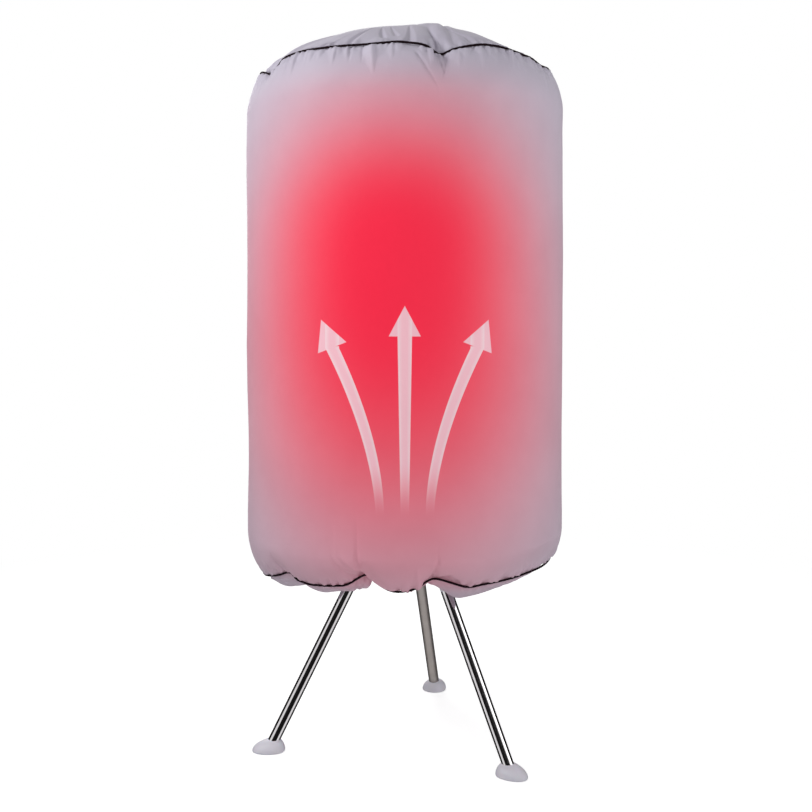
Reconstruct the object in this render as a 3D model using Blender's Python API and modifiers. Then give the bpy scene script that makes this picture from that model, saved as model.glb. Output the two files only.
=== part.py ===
# Portable clothes dryer: a fabric cover hung over a folding rack, with a blower and three folding legs.
# Metres, +Z up. The origin is on the floor under the pole, and the front faces -Y.
# Azimuths are in degrees from +X, counterclockwise seen from above.
# Cover angles are in degrees from the front, growing towards +X.

import math

import bmesh
import bpy
from mathutils import Matrix

# The whole
total_height = 1.359
seat_gap = 0.0003
cut_overrun = 0.002
merge_distance = 0.00001
front_azimuth = -90

# Fabric cover
cover_top_radius = 0.294
cover_bottom_radius = 0.3035
panel_wall = 0.0012
shoulder_inset = 0.029
dome_rise = 0.074
shoulder_height = 0.076
skirt_inset = 0.0385
seam_below_hem = 0.075
skirt_height = 0.065
bottom_bulge = 0.038
piping_radius = 0.0020
seam_gap = 0.0007
front_segments = 30
back_segments = 15
# The side cloth's straight part, in quarters from one cover angle to another
quarters = {"front": (-48, 48), "right": (48, 138), "back": (138, 222), "left": (222, 312)}

# Folds of the cover: the dip in the top seam, the notches between the lobes and the sag at the left
dip_half_width = 12
dip_drop = 0.019
dip_pull = 0.018
notch_lift = 0.018
notch_pull = 0.018
notch_half_width = 12
sag_angle = -98
sag_half_width = 48
sag_drop = 0.026
# Each fold is its angle and the share of the full drop, lift and pull that it has
dip_shares = ((13, 1.0), (-64, 0.5), (97, 0.3), (152, 0.6), (228, 0.5))
notch_shares = ((-54, 0.4), (-15, 1.0), (10, 0.85), (76, 0.6), (118, 0.8), (158, 0.7), (206, 0.9), (240, 0.6))
# How far each ring of the panels lies along the panel's arc
shoulder_arc_shares = (0, 1 / 3, 2 / 3, 1)
side_height_shares = (0, 1 / 3, 2 / 3, 1)
top_ring_shares = (0.2, 0.42, 0.64, 0.84, 1)
bottom_ring_shares = (0, 0.13, 0.3, 0.5, 0.72, 1)

# Elastic hem round the blower housing
hem_radius = 0.0022
hem_sides = 8

# Zip at the back
zip_bottom_gap = 0.030
zip_top_gap = 0.020
tape_width = 0.026
tape_thickness = 0.0010
chain_width = 0.0050
chain_height = 0.0016
slider_width = 0.0110
slider_roof = 0.0015
slider_length = 0.012
slider_rest = 0.006
ear_thickness = 0.0012
ear_side_gap = 0.0005
bar_radius = 0.0008
pull_eye_wall = 0.0008
pull_width = 0.0050
pull_thickness = 0.0015
pull_length = 0.026

# Blower housing
housing_radius = 0.125
housing_bottom = 0.357
base_height = 0.082
lid_height = 0.045
housing_wall = 0.0025
housing_floor = 0.003
housing_fillet = 0.012
inlet_margin = 0.010
outlet_margin = 0.037
grille_lap = 0.007
grille_thickness = 0.0025
inlet_slot_width = 0.006
inlet_slot_start = 0.018
inlet_slot_margin = 0.006
inlet_slots = 10
outlet_slot_width = 0.007
outlet_slot_start = 0.036
outlet_slot_margin = 0.005
outlet_slots = 14
housing_steps = 32

# Screws that hold the tripod ring to the housing
screw_inset = 0.017
screw_radius = 0.0015
screw_head_radius = 0.0032
screw_head_height = 0.0022
screw_length = 0.024
boss_radius = 0.005

# Fan, motor and heater
mount_rise = 0.066
mount_thickness = 0.003
mount_arm_width = 0.012
mount_disc_radius = 0.026
motor_radius = 0.020
motor_height = 0.030
shaft_radius = 0.0025
shaft_reach = 0.024
hub_radius = 0.016
hub_height = 0.018
fan_margin = 0.008
blade_chord = 0.022
blade_thickness = 0.0016
blade_pitch = 38
blade_count = 7
heater_height = 0.018
heater_margin = 0.045
core_corner_margin = 0.0107
fin_slot_width = 0.0055
fin_margin = 0.007
fin_slots = 9

# Controls on the housing wall
control_rise = 0.036
timer_width = 0.034
timer_depth = 0.020
knob_radius = 0.016
knob_depth = 0.012
knob_shaft_radius = 0.003
knob_ridge_width = 0.004
knob_ridge_height = 0.0015
lens_radius = 0.003
lens_proud = 0.0012
lens_angle = 22
inlet_width = 0.028
inlet_height = 0.020
inlet_depth = 0.018
inlet_flange = 0.003
inlet_flange_thickness = 0.002
recess_width = 0.020
recess_height = 0.012
recess_depth = 0.013
power_azimuth = 90

# Tripod ring and legs
leg_azimuths = {"front_left": 195.87, "front_right": 315.87, "rear": 75.87}
leg_angle = 27.4
pivot_inset = 0.01983
ring_inset = 0.007
ring_width = 0.038
ring_thickness = 0.005
pivot_drop = 0.015
tube_radius = 0.011
tube_wall = 0.001
knuckle_head_radius = 0.013
heel_length = 0.014
collar_start = 0.008
collar_end = 0.024
plug_end = 0.050
side_gap = 0.0005
ear_wall = 0.0035
clevis_radius = 0.011
pin_radius = 0.003
pin_head_radius = 0.005
pin_head_height = 0.0015
foot_half_length = 0.033
foot_half_width = 0.027
foot_height = 0.024
foot_sole = 0.0025
foot_lean_share = 0.5

# Telescopic pole
lower_radius = 0.0125
upper_radius = 0.010
pole_wall = 0.001
flange_radius = 0.030
flange_thickness = 0.004
sleeve_wall = 0.004
sleeve_height = 0.050
lower_tube_length = 0.4176
pole_overlap = 0.060
bush_height = 0.040
lock_radius = 0.020
lock_below = 0.030
lock_above = 0.012
cap_radius = 0.016
cap_crown = 0.002
cap_height = 0.022
cap_plug = 0.020
cap_ring_shares = (0, 1 / 2, 1)

# Hanging rack
crown_drop = 0.0685
pivot_circle = 0.034
crown_radius = 0.040
crown_below = 0.008
crown_roof = 0.004
wire_radius = 0.001
eye_gap = 0.0005
first_arm_angle = 35.5
arm_count = 8
arm_thickness = 0.005
arm_margin = 0.049
arm_head_radius = 0.005
arm_tip_rise = 0.012
arm_tip_width = 0.006
arm_depth = 0.009
arm_end_depth = 0.003
arm_belly_shares = (1 / 4, 1 / 2)
scallop_depth = 0.003
scallop_count = 4
scallop_start_share = 0.3
scallop_length_share = 0.4
scallop_arc_shares = (0, 1 / 4, 1 / 2, 3 / 4, 1)
grub_radius = 0.002

# Colour, roughness and metallic value of each kind of surface
looks = {
    "silver_fabric": ((0.60, 0.54, 0.60), 0.55, 0.0),
    "piping": ((0.012, 0.006, 0.010), 0.60, 0.0),
    "polished_steel": ((0.78, 0.78, 0.78), 0.10, 1.0),
    "satin_steel": ((0.35, 0.32, 0.31), 0.45, 1.0),
    "zinc": ((0.62, 0.62, 0.64), 0.35, 1.0),
    "aluminium": ((0.70, 0.71, 0.73), 0.40, 1.0),
    "white_plastic": ((0.66, 0.64, 0.74), 0.45, 0.0),
    "grey_plastic": ((0.30, 0.30, 0.33), 0.50, 0.0),
    "dark_plastic": ((0.03, 0.03, 0.035), 0.45, 0.0),
    "red_lens": ((0.60, 0.02, 0.03), 0.20, 0.0),
    "tape": ((0.42, 0.38, 0.43), 0.70, 0.0),
}

# Places and sizes worked out from the ones above
housing_split = housing_bottom + base_height
housing_top = housing_split + lid_height
mount_height = housing_bottom + mount_rise
control_height = housing_bottom + control_rise
screw_circle = housing_radius - screw_inset
outlet_radius = housing_radius - outlet_margin
outlet_slot_end = outlet_radius - outlet_slot_margin
heater_frame_radius = housing_radius - heater_margin
core_side = math.sqrt(2) * (heater_frame_radius - core_corner_margin)
fin_slot_length = core_side - 2 * fin_margin
ring_outer = housing_radius - ring_inset
ring_inner = ring_outer - ring_width
inlet_radius = ring_inner - inlet_margin
inlet_slot_end = inlet_radius - inlet_slot_margin
fan_radius = inlet_radius - fan_margin
ring_top = housing_bottom - seat_gap
ring_bottom = ring_top - ring_thickness
leg_slope = math.radians(leg_angle)
leg_pivot_height = ring_bottom - pivot_drop
leg_pivot_radius = ring_outer - pivot_inset
foot_circle = leg_pivot_radius + leg_pivot_height * math.tan(leg_slope)
leg_end = (leg_pivot_height - foot_sole - tube_radius * math.sin(leg_slope)) / math.cos(leg_slope)
grille_seat = housing_top + seat_gap
flange_seat = grille_seat + grille_thickness + seat_gap
tube_seat = flange_seat + flange_thickness + seat_gap
lower_top = tube_seat + lower_tube_length
cap_top = total_height - panel_wall - seat_gap
cap_base = cap_top - cap_height
upper_top = cap_base - seat_gap
pivot_height = cap_base - crown_drop
arm_reach = cover_top_radius - arm_margin
seam_clear = piping_radius + seam_gap
top_rim_radius = cover_top_radius - shoulder_inset
top_rim_height = total_height - dome_rise
bottom_rim_radius = cover_bottom_radius - skirt_inset
bottom_rim_height = housing_split - seam_below_hem
full_top = top_rim_height - shoulder_height
full_bottom = bottom_rim_height + skirt_height
zip_bottom = full_bottom + zip_bottom_gap
zip_top = full_top - zip_top_gap
hem_centre = housing_radius + seat_gap + hem_radius
steps = {"small": 10, "tube": 16, "crown": 32, "housing": housing_steps}


def turn(degrees, axis):
    return Matrix.Rotation(math.radians(degrees), 4, axis)


def move(x, y, z):
    return Matrix.Translation((x, y, z))


# X points outward along the azimuth, Y points up and Z lies along the tangent
def upright(azimuth, radius, height):
    return turn(azimuth, "Z") @ move(radius, 0, height) @ turn(90, "X")


# Z points outward along the azimuth, and Y points up
def outward(azimuth, radius, height):
    return turn(azimuth, "Z") @ move(radius, 0, height) @ turn(90, "Z") @ turn(90, "X")


def clear_scene():
    for item in list(bpy.data.objects):
        bpy.data.objects.remove(item, do_unlink=True)


def new_collection(name):
    group = bpy.data.collections.new(name)
    bpy.context.scene.collection.children.link(group)
    return group


def new_material(name, look):
    colour, roughness, metallic = looks[look]
    material = bpy.data.materials.new(name)
    material.use_nodes = True
    shader = material.node_tree.nodes["Principled BSDF"]
    shader.inputs["Base Color"].default_value = (*colour, 1)
    shader.inputs["Roughness"].default_value = roughness
    shader.inputs["Metallic"].default_value = metallic
    return material


# A shape without a look is a cutter or a piece to be joined to another
def place(name, data, look, frame, parent):
    item = bpy.data.objects.new(name, data)
    if look:
        dryer.objects.link(item)
        data.materials.append(new_material(name, look))
    else:
        cutters.objects.link(item)
        item.hide_render = True
        item.display_type = "WIRE"
    if parent:
        item.parent = parent
    item.matrix_local = frame if frame else Matrix.Identity(4)
    return item


def hinge_point(name, frame):
    empty = bpy.data.objects.new(name, None)
    dryer.objects.link(empty)
    empty.matrix_world = frame
    return empty


def turned(name, outline, look=None, frame=None, parent=None, closed=True, size="tube"):
    mesh = bpy.data.meshes.new(name)
    count = len(outline)
    edges = [(i, (i + 1) % count) for i in range(count if closed else count - 1)]
    mesh.from_pydata([(radius, 0, height) for radius, height in outline], edges, [])
    item = place(name, mesh, look, frame, parent)
    screw = item.modifiers.new("turn", "SCREW")
    screw.steps = steps[size]
    screw.render_steps = steps[size]
    screw.use_merge_vertices = True
    screw.merge_threshold = merge_distance
    return item


def ring(outer, inner, bottom, top):
    return [(outer, top), (outer, bottom), (inner, bottom), (inner, top)]


def solid_round(radius, bottom, top):
    return [(0, top), (radius, top), (radius, bottom), (0, bottom)]


def arc(centre, radius, start, end, count):
    points = []
    for i in range(count + 1):
        angle = math.radians(start + (end - start) * i / count)
        points.append((centre[0] + radius * math.cos(angle), centre[1] + radius * math.sin(angle)))
    return points


def box(name, low, high, look=None, frame=None, parent=None):
    mesh = bpy.data.meshes.new(name)
    shape = bmesh.new()
    middle = [(a + b) / 2 for a, b in zip(low, high)]
    size = Matrix.Diagonal([b - a for a, b in zip(low, high)]).to_4x4()
    bmesh.ops.create_cube(shape, size=1, matrix=move(*middle) @ size)
    shape.to_mesh(mesh)
    shape.free()
    return place(name, mesh, look, frame, parent)


def plate(name, outlines, thickness, look=None, frame=None, parent=None, as_mesh=True):
    curve = bpy.data.curves.new(name, "CURVE")
    curve.dimensions = "2D"
    curve.fill_mode = "BOTH"
    curve.extrude = thickness / 2
    for outline in outlines:
        spline = curve.splines.new("POLY")
        spline.points.add(len(outline) - 1)
        for point, (x, y) in zip(spline.points, outline):
            point.co = (x, y, 0, 1)
        spline.use_cyclic_u = True
    item = place(name, curve, look, frame, parent)
    return welded(item, look, frame, parent) if as_mesh else item


# A mesh copy of a curve, with its caps welded, so that it can be cut and joined
def welded(item, look, frame, parent):
    bpy.context.view_layer.update()
    mesh = bpy.data.meshes.new_from_object(item.evaluated_get(bpy.context.evaluated_depsgraph_get()))
    shape = bmesh.new()
    shape.from_mesh(mesh)
    bmesh.ops.remove_doubles(shape, verts=shape.verts, dist=merge_distance)
    shape.to_mesh(mesh)
    shape.free()
    mesh.materials.clear()
    name = item.name
    bpy.data.objects.remove(item, do_unlink=True)
    return place(name, mesh, look, frame, parent)


def change(target, tool, operation):
    step = target.modifiers.new(tool.name, "BOOLEAN")
    step.operation = operation
    step.object = tool
    step.solver = "EXACT"


def join(target, *tools):
    for tool in tools:
        change(target, tool, "UNION")


def cut(target, *tools):
    for tool in tools:
        change(target, tool, "DIFFERENCE")


# The cover's angles: close together at the front, wide at the back, with a flat facet at the back's middle
def cover_angles():
    front = [-90 + 180 * i / front_segments for i in range(front_segments)]
    back = [90 + 180 * i / back_segments for i in range(back_segments)]
    return front + back


def cover_point(angle, radius, height):
    turned_by = math.radians(angle)
    return (radius * math.sin(turned_by), -radius * math.cos(turned_by), height)


# 1 at the centre, falling smoothly to 0 at the half width
def fold(angle, centre, half_width):
    away = abs((angle - centre + 180) % 360 - 180)
    return (1 + math.cos(math.pi * away / half_width)) / 2 if away < half_width else 0


def top_rim(angle):
    dip = max(share * fold(angle, centre, dip_half_width) for centre, share in dip_shares)
    return top_rim_radius - dip_pull * dip, top_rim_height - dip_drop * dip


def bottom_rim(angle):
    notch = max(share * fold(angle, centre, notch_half_width) for centre, share in notch_shares)
    sag = fold(angle, sag_angle, sag_half_width)
    height = bottom_rim_height + notch_lift * notch - sag_drop * sag
    return bottom_rim_radius - notch_pull * notch, height


# A quarter ellipse from the seam out to the full radius, level at the seam and upright at its end
def seam_arc(edge, height, full_radius, full_height, share):
    turned_by = share * math.pi / 2
    radius = edge + (full_radius - panel_wall / 2 - edge) * math.sin(turned_by)
    return radius, height + (full_height - height) * (1 - math.cos(turned_by))


def full_radius_at(height):
    share = (height - full_bottom) / (full_top - full_bottom)
    return cover_bottom_radius + (cover_top_radius - cover_bottom_radius) * share


# The side is one cloth in six nodes: a shoulder under the top seam, a skirt over the bottom one and four
# quarters between them
def shoulder_rows(angle):
    edge, height = top_rim(angle)
    start = edge + seam_clear
    return [seam_arc(start, height, cover_top_radius, full_top, share) for share in shoulder_arc_shares]


def skirt_rows(angle):
    edge, height = bottom_rim(angle)
    start = edge + seam_clear
    shares = shoulder_arc_shares[::-1]
    return [seam_arc(start, height, cover_bottom_radius, full_bottom, share) for share in shares]


def wall_rows(angle):
    top = full_top - seat_gap
    rows = []
    for share in side_height_shares:
        level = top + (full_bottom + seat_gap - top) * share
        rows.append((full_radius_at(level) - panel_wall / 2, level))
    return rows


# The cover's angles between two of them, with a hairline gap at each end
def quarter_angles(first, last):
    inset = math.degrees(seat_gap / 2 / cover_top_radius)
    inner = [angle + lap for lap in (0, 360) for angle in cover_angles() if first < angle + lap < last]
    return [first + inset, *inner, last - inset]


# The dome is a parabola from the apex to the seam, and the dip in the seam fades out towards the apex
def top_rows(angle):
    radius, height = top_rim(angle)
    apex = total_height - panel_wall / 2
    rows = []
    for share in top_ring_shares:
        plain = apex - (apex - top_rim_height) * share**2
        dipped = (height - top_rim_height) * share**4
        rows.append((share * (radius - seam_clear), plain + dipped))
    return rows


# The bottom panel swells below its seam, then rises to the hem
def bottom_rows(angle):
    radius, height = bottom_rim(angle)
    facet = math.cos(math.pi / back_segments / 2)
    inner = (hem_centre + hem_radius + seam_gap + panel_wall / 2) / facet
    outer = radius - seam_clear
    lift = (height - bottom_rim_height) / notch_lift if height > bottom_rim_height else 0
    rows = []
    for share in bottom_ring_shares:
        rise = (housing_split - height) * share**2
        swell = bottom_bulge * (1 - lift / 3) * math.sin(math.pi * share)
        rows.append((outer + (inner - outer) * share, height + rise - swell))
    return rows


# A thin skin whose rings run from its first seam to its last, on both sides of its middle surface
def panel(name, rows_at, apex=None, quarter=None):
    angles = quarter_angles(*quarter) if quarter else cover_angles()
    columns = [rows_at(angle) for angle in angles]
    points = []
    for row in range(len(columns[0])):
        for angle, column in zip(angles, columns):
            points.append(cover_point(angle, *column[row]))
    count = len(angles)
    faces = []
    for row in range(len(columns[0]) - 1):
        for i in range(count - 1 if quarter else count):
            j = (i + 1) % count
            faces.append((row * count + i, (row + 1) * count + i, (row + 1) * count + j, row * count + j))
    if apex:
        points.append(apex)
        faces += [(len(points) - 1, i, (i + 1) % count) for i in range(count)]
    mesh = bpy.data.meshes.new(name)
    mesh.from_pydata(points, [], faces)
    item = place(name, mesh, "silver_fabric", None, None)
    skin = item.modifiers.new("wall", "SOLIDIFY")
    skin.thickness = panel_wall
    skin.offset = 0
    return item


def piping(name, rim):
    curve = bpy.data.curves.new(name, "CURVE")
    curve.dimensions = "3D"
    curve.bevel_depth = piping_radius
    curve.bevel_resolution = 2
    spline = curve.splines.new("POLY")
    angles = cover_angles()
    spline.points.add(len(angles) - 1)
    for point, angle in zip(spline.points, angles):
        point.co = (*cover_point(angle, *rim(angle)), 1)
    spline.use_cyclic_u = True
    return place(name, curve, "piping", None, None)


def build_cover():
    panel("cover_shoulder", shoulder_rows)
    for side, bounds in quarters.items():
        panel(f"cover_{side}", wall_rows, quarter=bounds)
    panel("cover_skirt", skirt_rows)
    panel("cover_top", top_rows, apex=(0, 0, total_height - panel_wall / 2))
    panel("cover_bottom", bottom_rows)
    piping("piping_top", top_rim)
    piping("piping_bottom", bottom_rim)
    bead = arc((hem_centre, housing_split), hem_radius, 90, -270, hem_sides)[:-1]
    turned("hem_elastic", bead, "silver_fabric", size="housing")


# The zip lies on the cover's flat facet at the back. X runs across it, Y up and Z away from the cover
def build_zip():
    middle = (zip_bottom + zip_top) / 2
    facet = full_radius_at(middle) * math.cos(math.pi / back_segments / 2)
    slope = math.degrees(math.atan((cover_bottom_radius - cover_top_radius) / (full_top - full_bottom)))
    back = outward(front_azimuth + 180, facet + seat_gap, middle) @ turn(-slope, "X")
    tape_half = tape_width / 2
    chain_half = chain_width / 2
    chain_top = tape_thickness + chain_height
    section = [(-tape_half, 0), (tape_half, 0), (tape_half, tape_thickness), (chain_half, tape_thickness)]
    section += [(chain_half, chain_top), (-chain_half, chain_top), (-chain_half, tape_thickness)]
    section += [(-tape_half, tape_thickness)]
    length = zip_top - zip_bottom
    plate("zip_tape", [section], length, "tape", back @ turn(90, "X"))

    slider = back @ move(0, slider_rest + (slider_length - length) / 2, 0)
    foot = tape_thickness + seat_gap
    inner = chain_half + seat_gap
    roof = chain_top + seat_gap
    top = roof + slider_roof
    half = slider_width / 2
    body = [(-half, foot), (-inner, foot), (-inner, roof), (inner, roof), (inner, foot), (half, foot)]
    body += [(half, top), (-half, top)]
    item = plate("zip_slider", [body], slider_length, "zinc", slider @ turn(90, "X"))
    eye = bar_radius + seat_gap
    eye_outer = eye + pull_eye_wall
    bar_height = top + seat_gap + eye_outer
    ear_inner = pull_width / 2 + ear_side_gap
    ear_outer = ear_inner + ear_thickness
    for side in (-1, 1):
        edges = sorted((side * ear_inner, side * ear_outer))
        low = (edges[0], -eye_outer, top - slider_roof / 2)
        high = (edges[1], eye_outer, bar_height + eye_outer)
        join(item, box(f"zip_slider_ear_{side}", low, high, frame=slider))
    across = slider @ move(0, 0, bar_height) @ turn(90, "Y")
    bar_end = ear_inner + ear_thickness / 2
    bar = solid_round(bar_radius, -bar_end, bar_end)
    join(item, turned("zip_slider_bar", bar, frame=across, closed=False, size="small"))

    # The pull hangs from the bar. Its X points to the cover, and Y up
    hinge = hinge_point("zip_pull_hinge", across)
    half_pull = pull_thickness / 2
    side = math.degrees(math.asin(half_pull / eye_outer))
    outline = arc((0, 0), eye_outer, side - 90, 270 - side, 12)
    outline += [(-half_pull, -pull_length), (half_pull, -pull_length)]
    hole = arc((0, 0), eye, 0, 360, 12)[:-1]
    plate("zip_pull", [outline, hole], pull_width, "zinc", None, hinge, as_mesh=False)


def shell_outline(lip, bottom, top):
    inner = housing_radius - housing_wall
    centre = (housing_radius - housing_fillet, bottom + housing_fillet)
    outline = [(housing_radius, top)]
    outline += arc(centre, housing_fillet, 0, -90, 3)
    outline += [(lip, bottom), (lip, bottom + housing_floor)]
    outline += arc(centre, housing_fillet - housing_floor, -90, 0, 3)[:-1]
    outline += [(inner, bottom + housing_fillet), (inner, top)]
    return outline


def build_housing():
    outline = shell_outline(inlet_radius, housing_bottom, housing_split)
    base = turned("base_shell", outline, "white_plastic", size="housing")
    for name, azimuth in leg_azimuths.items():
        spot = turn(azimuth + 60, "Z") @ move(screw_circle, 0, 0)
        low = housing_bottom + housing_floor / 2
        boss = solid_round(boss_radius, low, mount_height)
        join(base, turned(f"boss_{name}", boss, frame=spot, closed=False, size="small"))
        bore_top = ring_bottom + screw_length + 2 * seat_gap
        bore = solid_round(screw_radius + seat_gap, housing_bottom - cut_overrun, bore_top)
        cut(base, turned(f"boss_bore_{name}", bore, frame=spot, closed=False, size="small"))

    # Openings in the wall for the knob's shaft, the lens and the power inlet
    wall = housing_radius - housing_wall - cut_overrun
    past = housing_radius + cut_overrun
    shaft = solid_round(knob_shaft_radius + seat_gap, wall, past)
    front = outward(front_azimuth, 0, control_height)
    cut(base, turned("knob_hole", shaft, frame=front, closed=False, size="small"))
    lens = solid_round(lens_radius + seat_gap, wall, past)
    side = outward(front_azimuth + lens_angle, 0, control_height)
    cut(base, turned("lens_hole", lens, frame=side, closed=False, size="small"))
    half_width = inlet_width / 2 + seat_gap
    half_height = inlet_height / 2 + seat_gap
    rear = outward(power_azimuth, 0, control_height)
    low = (-half_width, -half_height, wall)
    high = (half_width, half_height, past)
    cut(base, box("power_hole", low, high, frame=rear))

    lid = shell_outline(outlet_radius, 0, housing_top - housing_split - seat_gap)
    flipped = move(0, 0, housing_top) @ turn(180, "X")
    turned("top_shell", lid, "white_plastic", flipped, size="housing")


def grille(name, outer, bottom, slots, slot_width, start, end):
    disc = solid_round(outer, bottom, bottom + grille_thickness)
    item = turned(name, disc, "dark_plastic", closed=False, size="housing")
    for i in range(slots):
        low = (start, -slot_width / 2, bottom - cut_overrun)
        high = (end, slot_width / 2, bottom + grille_thickness + cut_overrun)
        cut(item, box(f"{name}_slot_{i + 1}", low, high, frame=turn(360 * i / slots, "Z")))
    return item


def build_blower():
    floor = housing_bottom + housing_floor + seat_gap
    grille("inlet_grille", inlet_radius + grille_lap, floor, inlet_slots, inlet_slot_width,
           inlet_slot_start, inlet_slot_end)
    grille("outlet_grille", outlet_radius + grille_lap, grille_seat, outlet_slots, outlet_slot_width,
           outlet_slot_start, outlet_slot_end)

    # The mount's three arms lie on the bosses and carry the motor under their middle
    low = mount_height + seat_gap
    high = low + mount_thickness
    mount = turned("motor_mount", solid_round(mount_disc_radius, low, high), "zinc", closed=False)
    for name, azimuth in leg_azimuths.items():
        reach = screw_circle + boss_radius
        arm = box(f"mount_arm_{name}", (0, -mount_arm_width / 2, low), (reach, mount_arm_width / 2, high),
                  frame=turn(azimuth + 60, "Z"))
        join(mount, arm)
    motor_top = mount_height
    motor_bottom = motor_top - motor_height
    shaft_bottom = motor_bottom - shaft_reach
    outline = [(0, motor_top), (motor_radius, motor_top), (motor_radius, motor_bottom)]
    outline += [(shaft_radius, motor_bottom), (shaft_radius, shaft_bottom), (0, shaft_bottom)]
    turned("fan_motor", outline, "zinc", closed=False)

    hub_bottom = shaft_bottom
    hub = ring(hub_radius, shaft_radius + seat_gap, hub_bottom, hub_bottom + hub_height)
    fan = turned("fan_impeller", hub, "grey_plastic")
    root = hub_radius - blade_thickness
    for i in range(blade_count):
        spot = turn(360 * i / blade_count, "Z") @ move(0, 0, hub_bottom + hub_height / 2)
        low = (root, -blade_chord / 2, -blade_thickness / 2)
        high = (fan_radius, blade_chord / 2, blade_thickness / 2)
        join(fan, box(f"blade_{i + 1}", low, high, frame=spot @ turn(blade_pitch, "X")))

    # The heater stands on the mount's arms
    low = mount_height + seat_gap + mount_thickness + seat_gap
    high = low + heater_height
    frame = turned("heater_frame", solid_round(heater_frame_radius, low, high), "dark_plastic", closed=False)
    half = core_side / 2 + seat_gap
    cut(frame, box("heater_window", (-half, -half, low - cut_overrun), (half, half, high + cut_overrun)))
    half = core_side / 2
    core = box("heater_core", (-half, -half, low), (half, half, high), "aluminium")
    pitch = core_side / fin_slots
    for i in range(fin_slots):
        middle = (i + 0.5) * pitch - half
        near = (middle - fin_slot_width / 2, -fin_slot_length / 2, low - cut_overrun)
        far = (middle + fin_slot_width / 2, fin_slot_length / 2, high + cut_overrun)
        cut(core, box(f"fin_slot_{i + 1}", near, far))


def build_controls():
    front = outward(front_azimuth, 0, control_height)
    half = timer_width / 2
    inner = housing_radius - housing_wall
    face = math.sqrt(inner**2 - half**2) * math.cos(math.pi / housing_steps) - seat_gap
    timer = box("timer_body", (-half, -half, face - timer_depth), (half, half, face), "dark_plastic", front)
    socket_depth = 2 * knob_shaft_radius
    socket = solid_round(knob_shaft_radius + seat_gap, face - socket_depth - seat_gap, face + cut_overrun)
    cut(timer, turned("timer_socket", socket, frame=front, closed=False, size="small"))

    back = housing_radius + seat_gap
    top = back + knob_depth
    outline = [(0, top), (knob_radius - knob_ridge_height, top), (knob_radius, top - knob_ridge_height)]
    outline += [(knob_radius, back), (knob_shaft_radius, back)]
    outline += [(knob_shaft_radius, face - socket_depth), (0, face - socket_depth)]
    knob_hinge = hinge_point("timer_knob_hinge", front)
    knob = turned("timer_knob", outline, "grey_plastic", None, knob_hinge, closed=False)
    half_ridge = knob_ridge_width / 2
    low = (-half_ridge, 0, top - knob_ridge_height)
    high = (half_ridge, knob_radius - 2 * knob_ridge_height, top + knob_ridge_height)
    join(knob, box("knob_ridge", low, high, parent=knob_hinge))

    side = outward(front_azimuth + lens_angle, 0, control_height)
    lens = solid_round(lens_radius, inner, housing_radius + lens_proud)
    turned("indicator_lens", lens, "red_lens", side, closed=False, size="small")

    rear = outward(power_azimuth, 0, control_height)
    half_width = inlet_width / 2
    half_height = inlet_height / 2
    seat = housing_radius + seat_gap
    front_face = seat + inlet_flange_thickness
    low = (-half_width, -half_height, front_face - inlet_depth)
    power = box("power_inlet", low, (half_width, half_height, front_face), "dark_plastic", rear)
    low = (-half_width - inlet_flange, -half_height - inlet_flange, seat)
    high = (half_width + inlet_flange, half_height + inlet_flange, front_face)
    join(power, box("power_flange", low, high, frame=rear))
    low = (-recess_width / 2, -recess_height / 2, front_face - recess_depth)
    high = (recess_width / 2, recess_height / 2, front_face + cut_overrun)
    cut(power, box("power_recess", low, high, frame=rear))


def build_tripod():
    plate_ring = ring(ring_outer, ring_inner, ring_bottom, ring_top)
    tripod = turned("tripod_ring", plate_ring, "zinc", size="housing")
    ear_middle = tube_radius + side_gap + ear_wall / 2
    ear_up = pivot_drop + ring_thickness / 2
    ear = [(clevis_radius, ear_up), (-clevis_radius, ear_up)]
    ear += arc((0, 0), clevis_radius, 180, 360, 8)
    for name, azimuth in leg_azimuths.items():
        hinge = upright(azimuth, leg_pivot_radius, leg_pivot_height)
        for side in (-1, 1):
            spot = hinge @ move(0, 0, side * ear_middle)
            join(tripod, plate(f"ear_{name}_{side}", [ear], ear_wall, frame=spot))
        reach = ear_middle + ear_wall
        hole = solid_round(pin_radius + seat_gap, -reach, reach)
        cut(tripod, turned(f"pin_hole_{name}", hole, frame=hinge, closed=False, size="small"))
        spot = turn(azimuth + 60, "Z") @ move(screw_circle, 0, 0)
        hole = solid_round(screw_radius + seat_gap, ring_bottom - cut_overrun, ring_top + cut_overrun)
        cut(tripod, turned(f"screw_hole_{name}", hole, frame=spot, closed=False, size="small"))
        build_screw(f"housing_screw_{name}", spot)


def build_screw(name, spot):
    seat = ring_bottom - seat_gap
    outline = [(0, seat + screw_length), (screw_radius, seat + screw_length), (screw_radius, seat)]
    outline += [(screw_head_radius, seat), (screw_head_radius, seat - screw_head_height)]
    outline += [(0, seat - screw_head_height)]
    turned(name, outline, "zinc", spot, closed=False, size="small")


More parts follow.
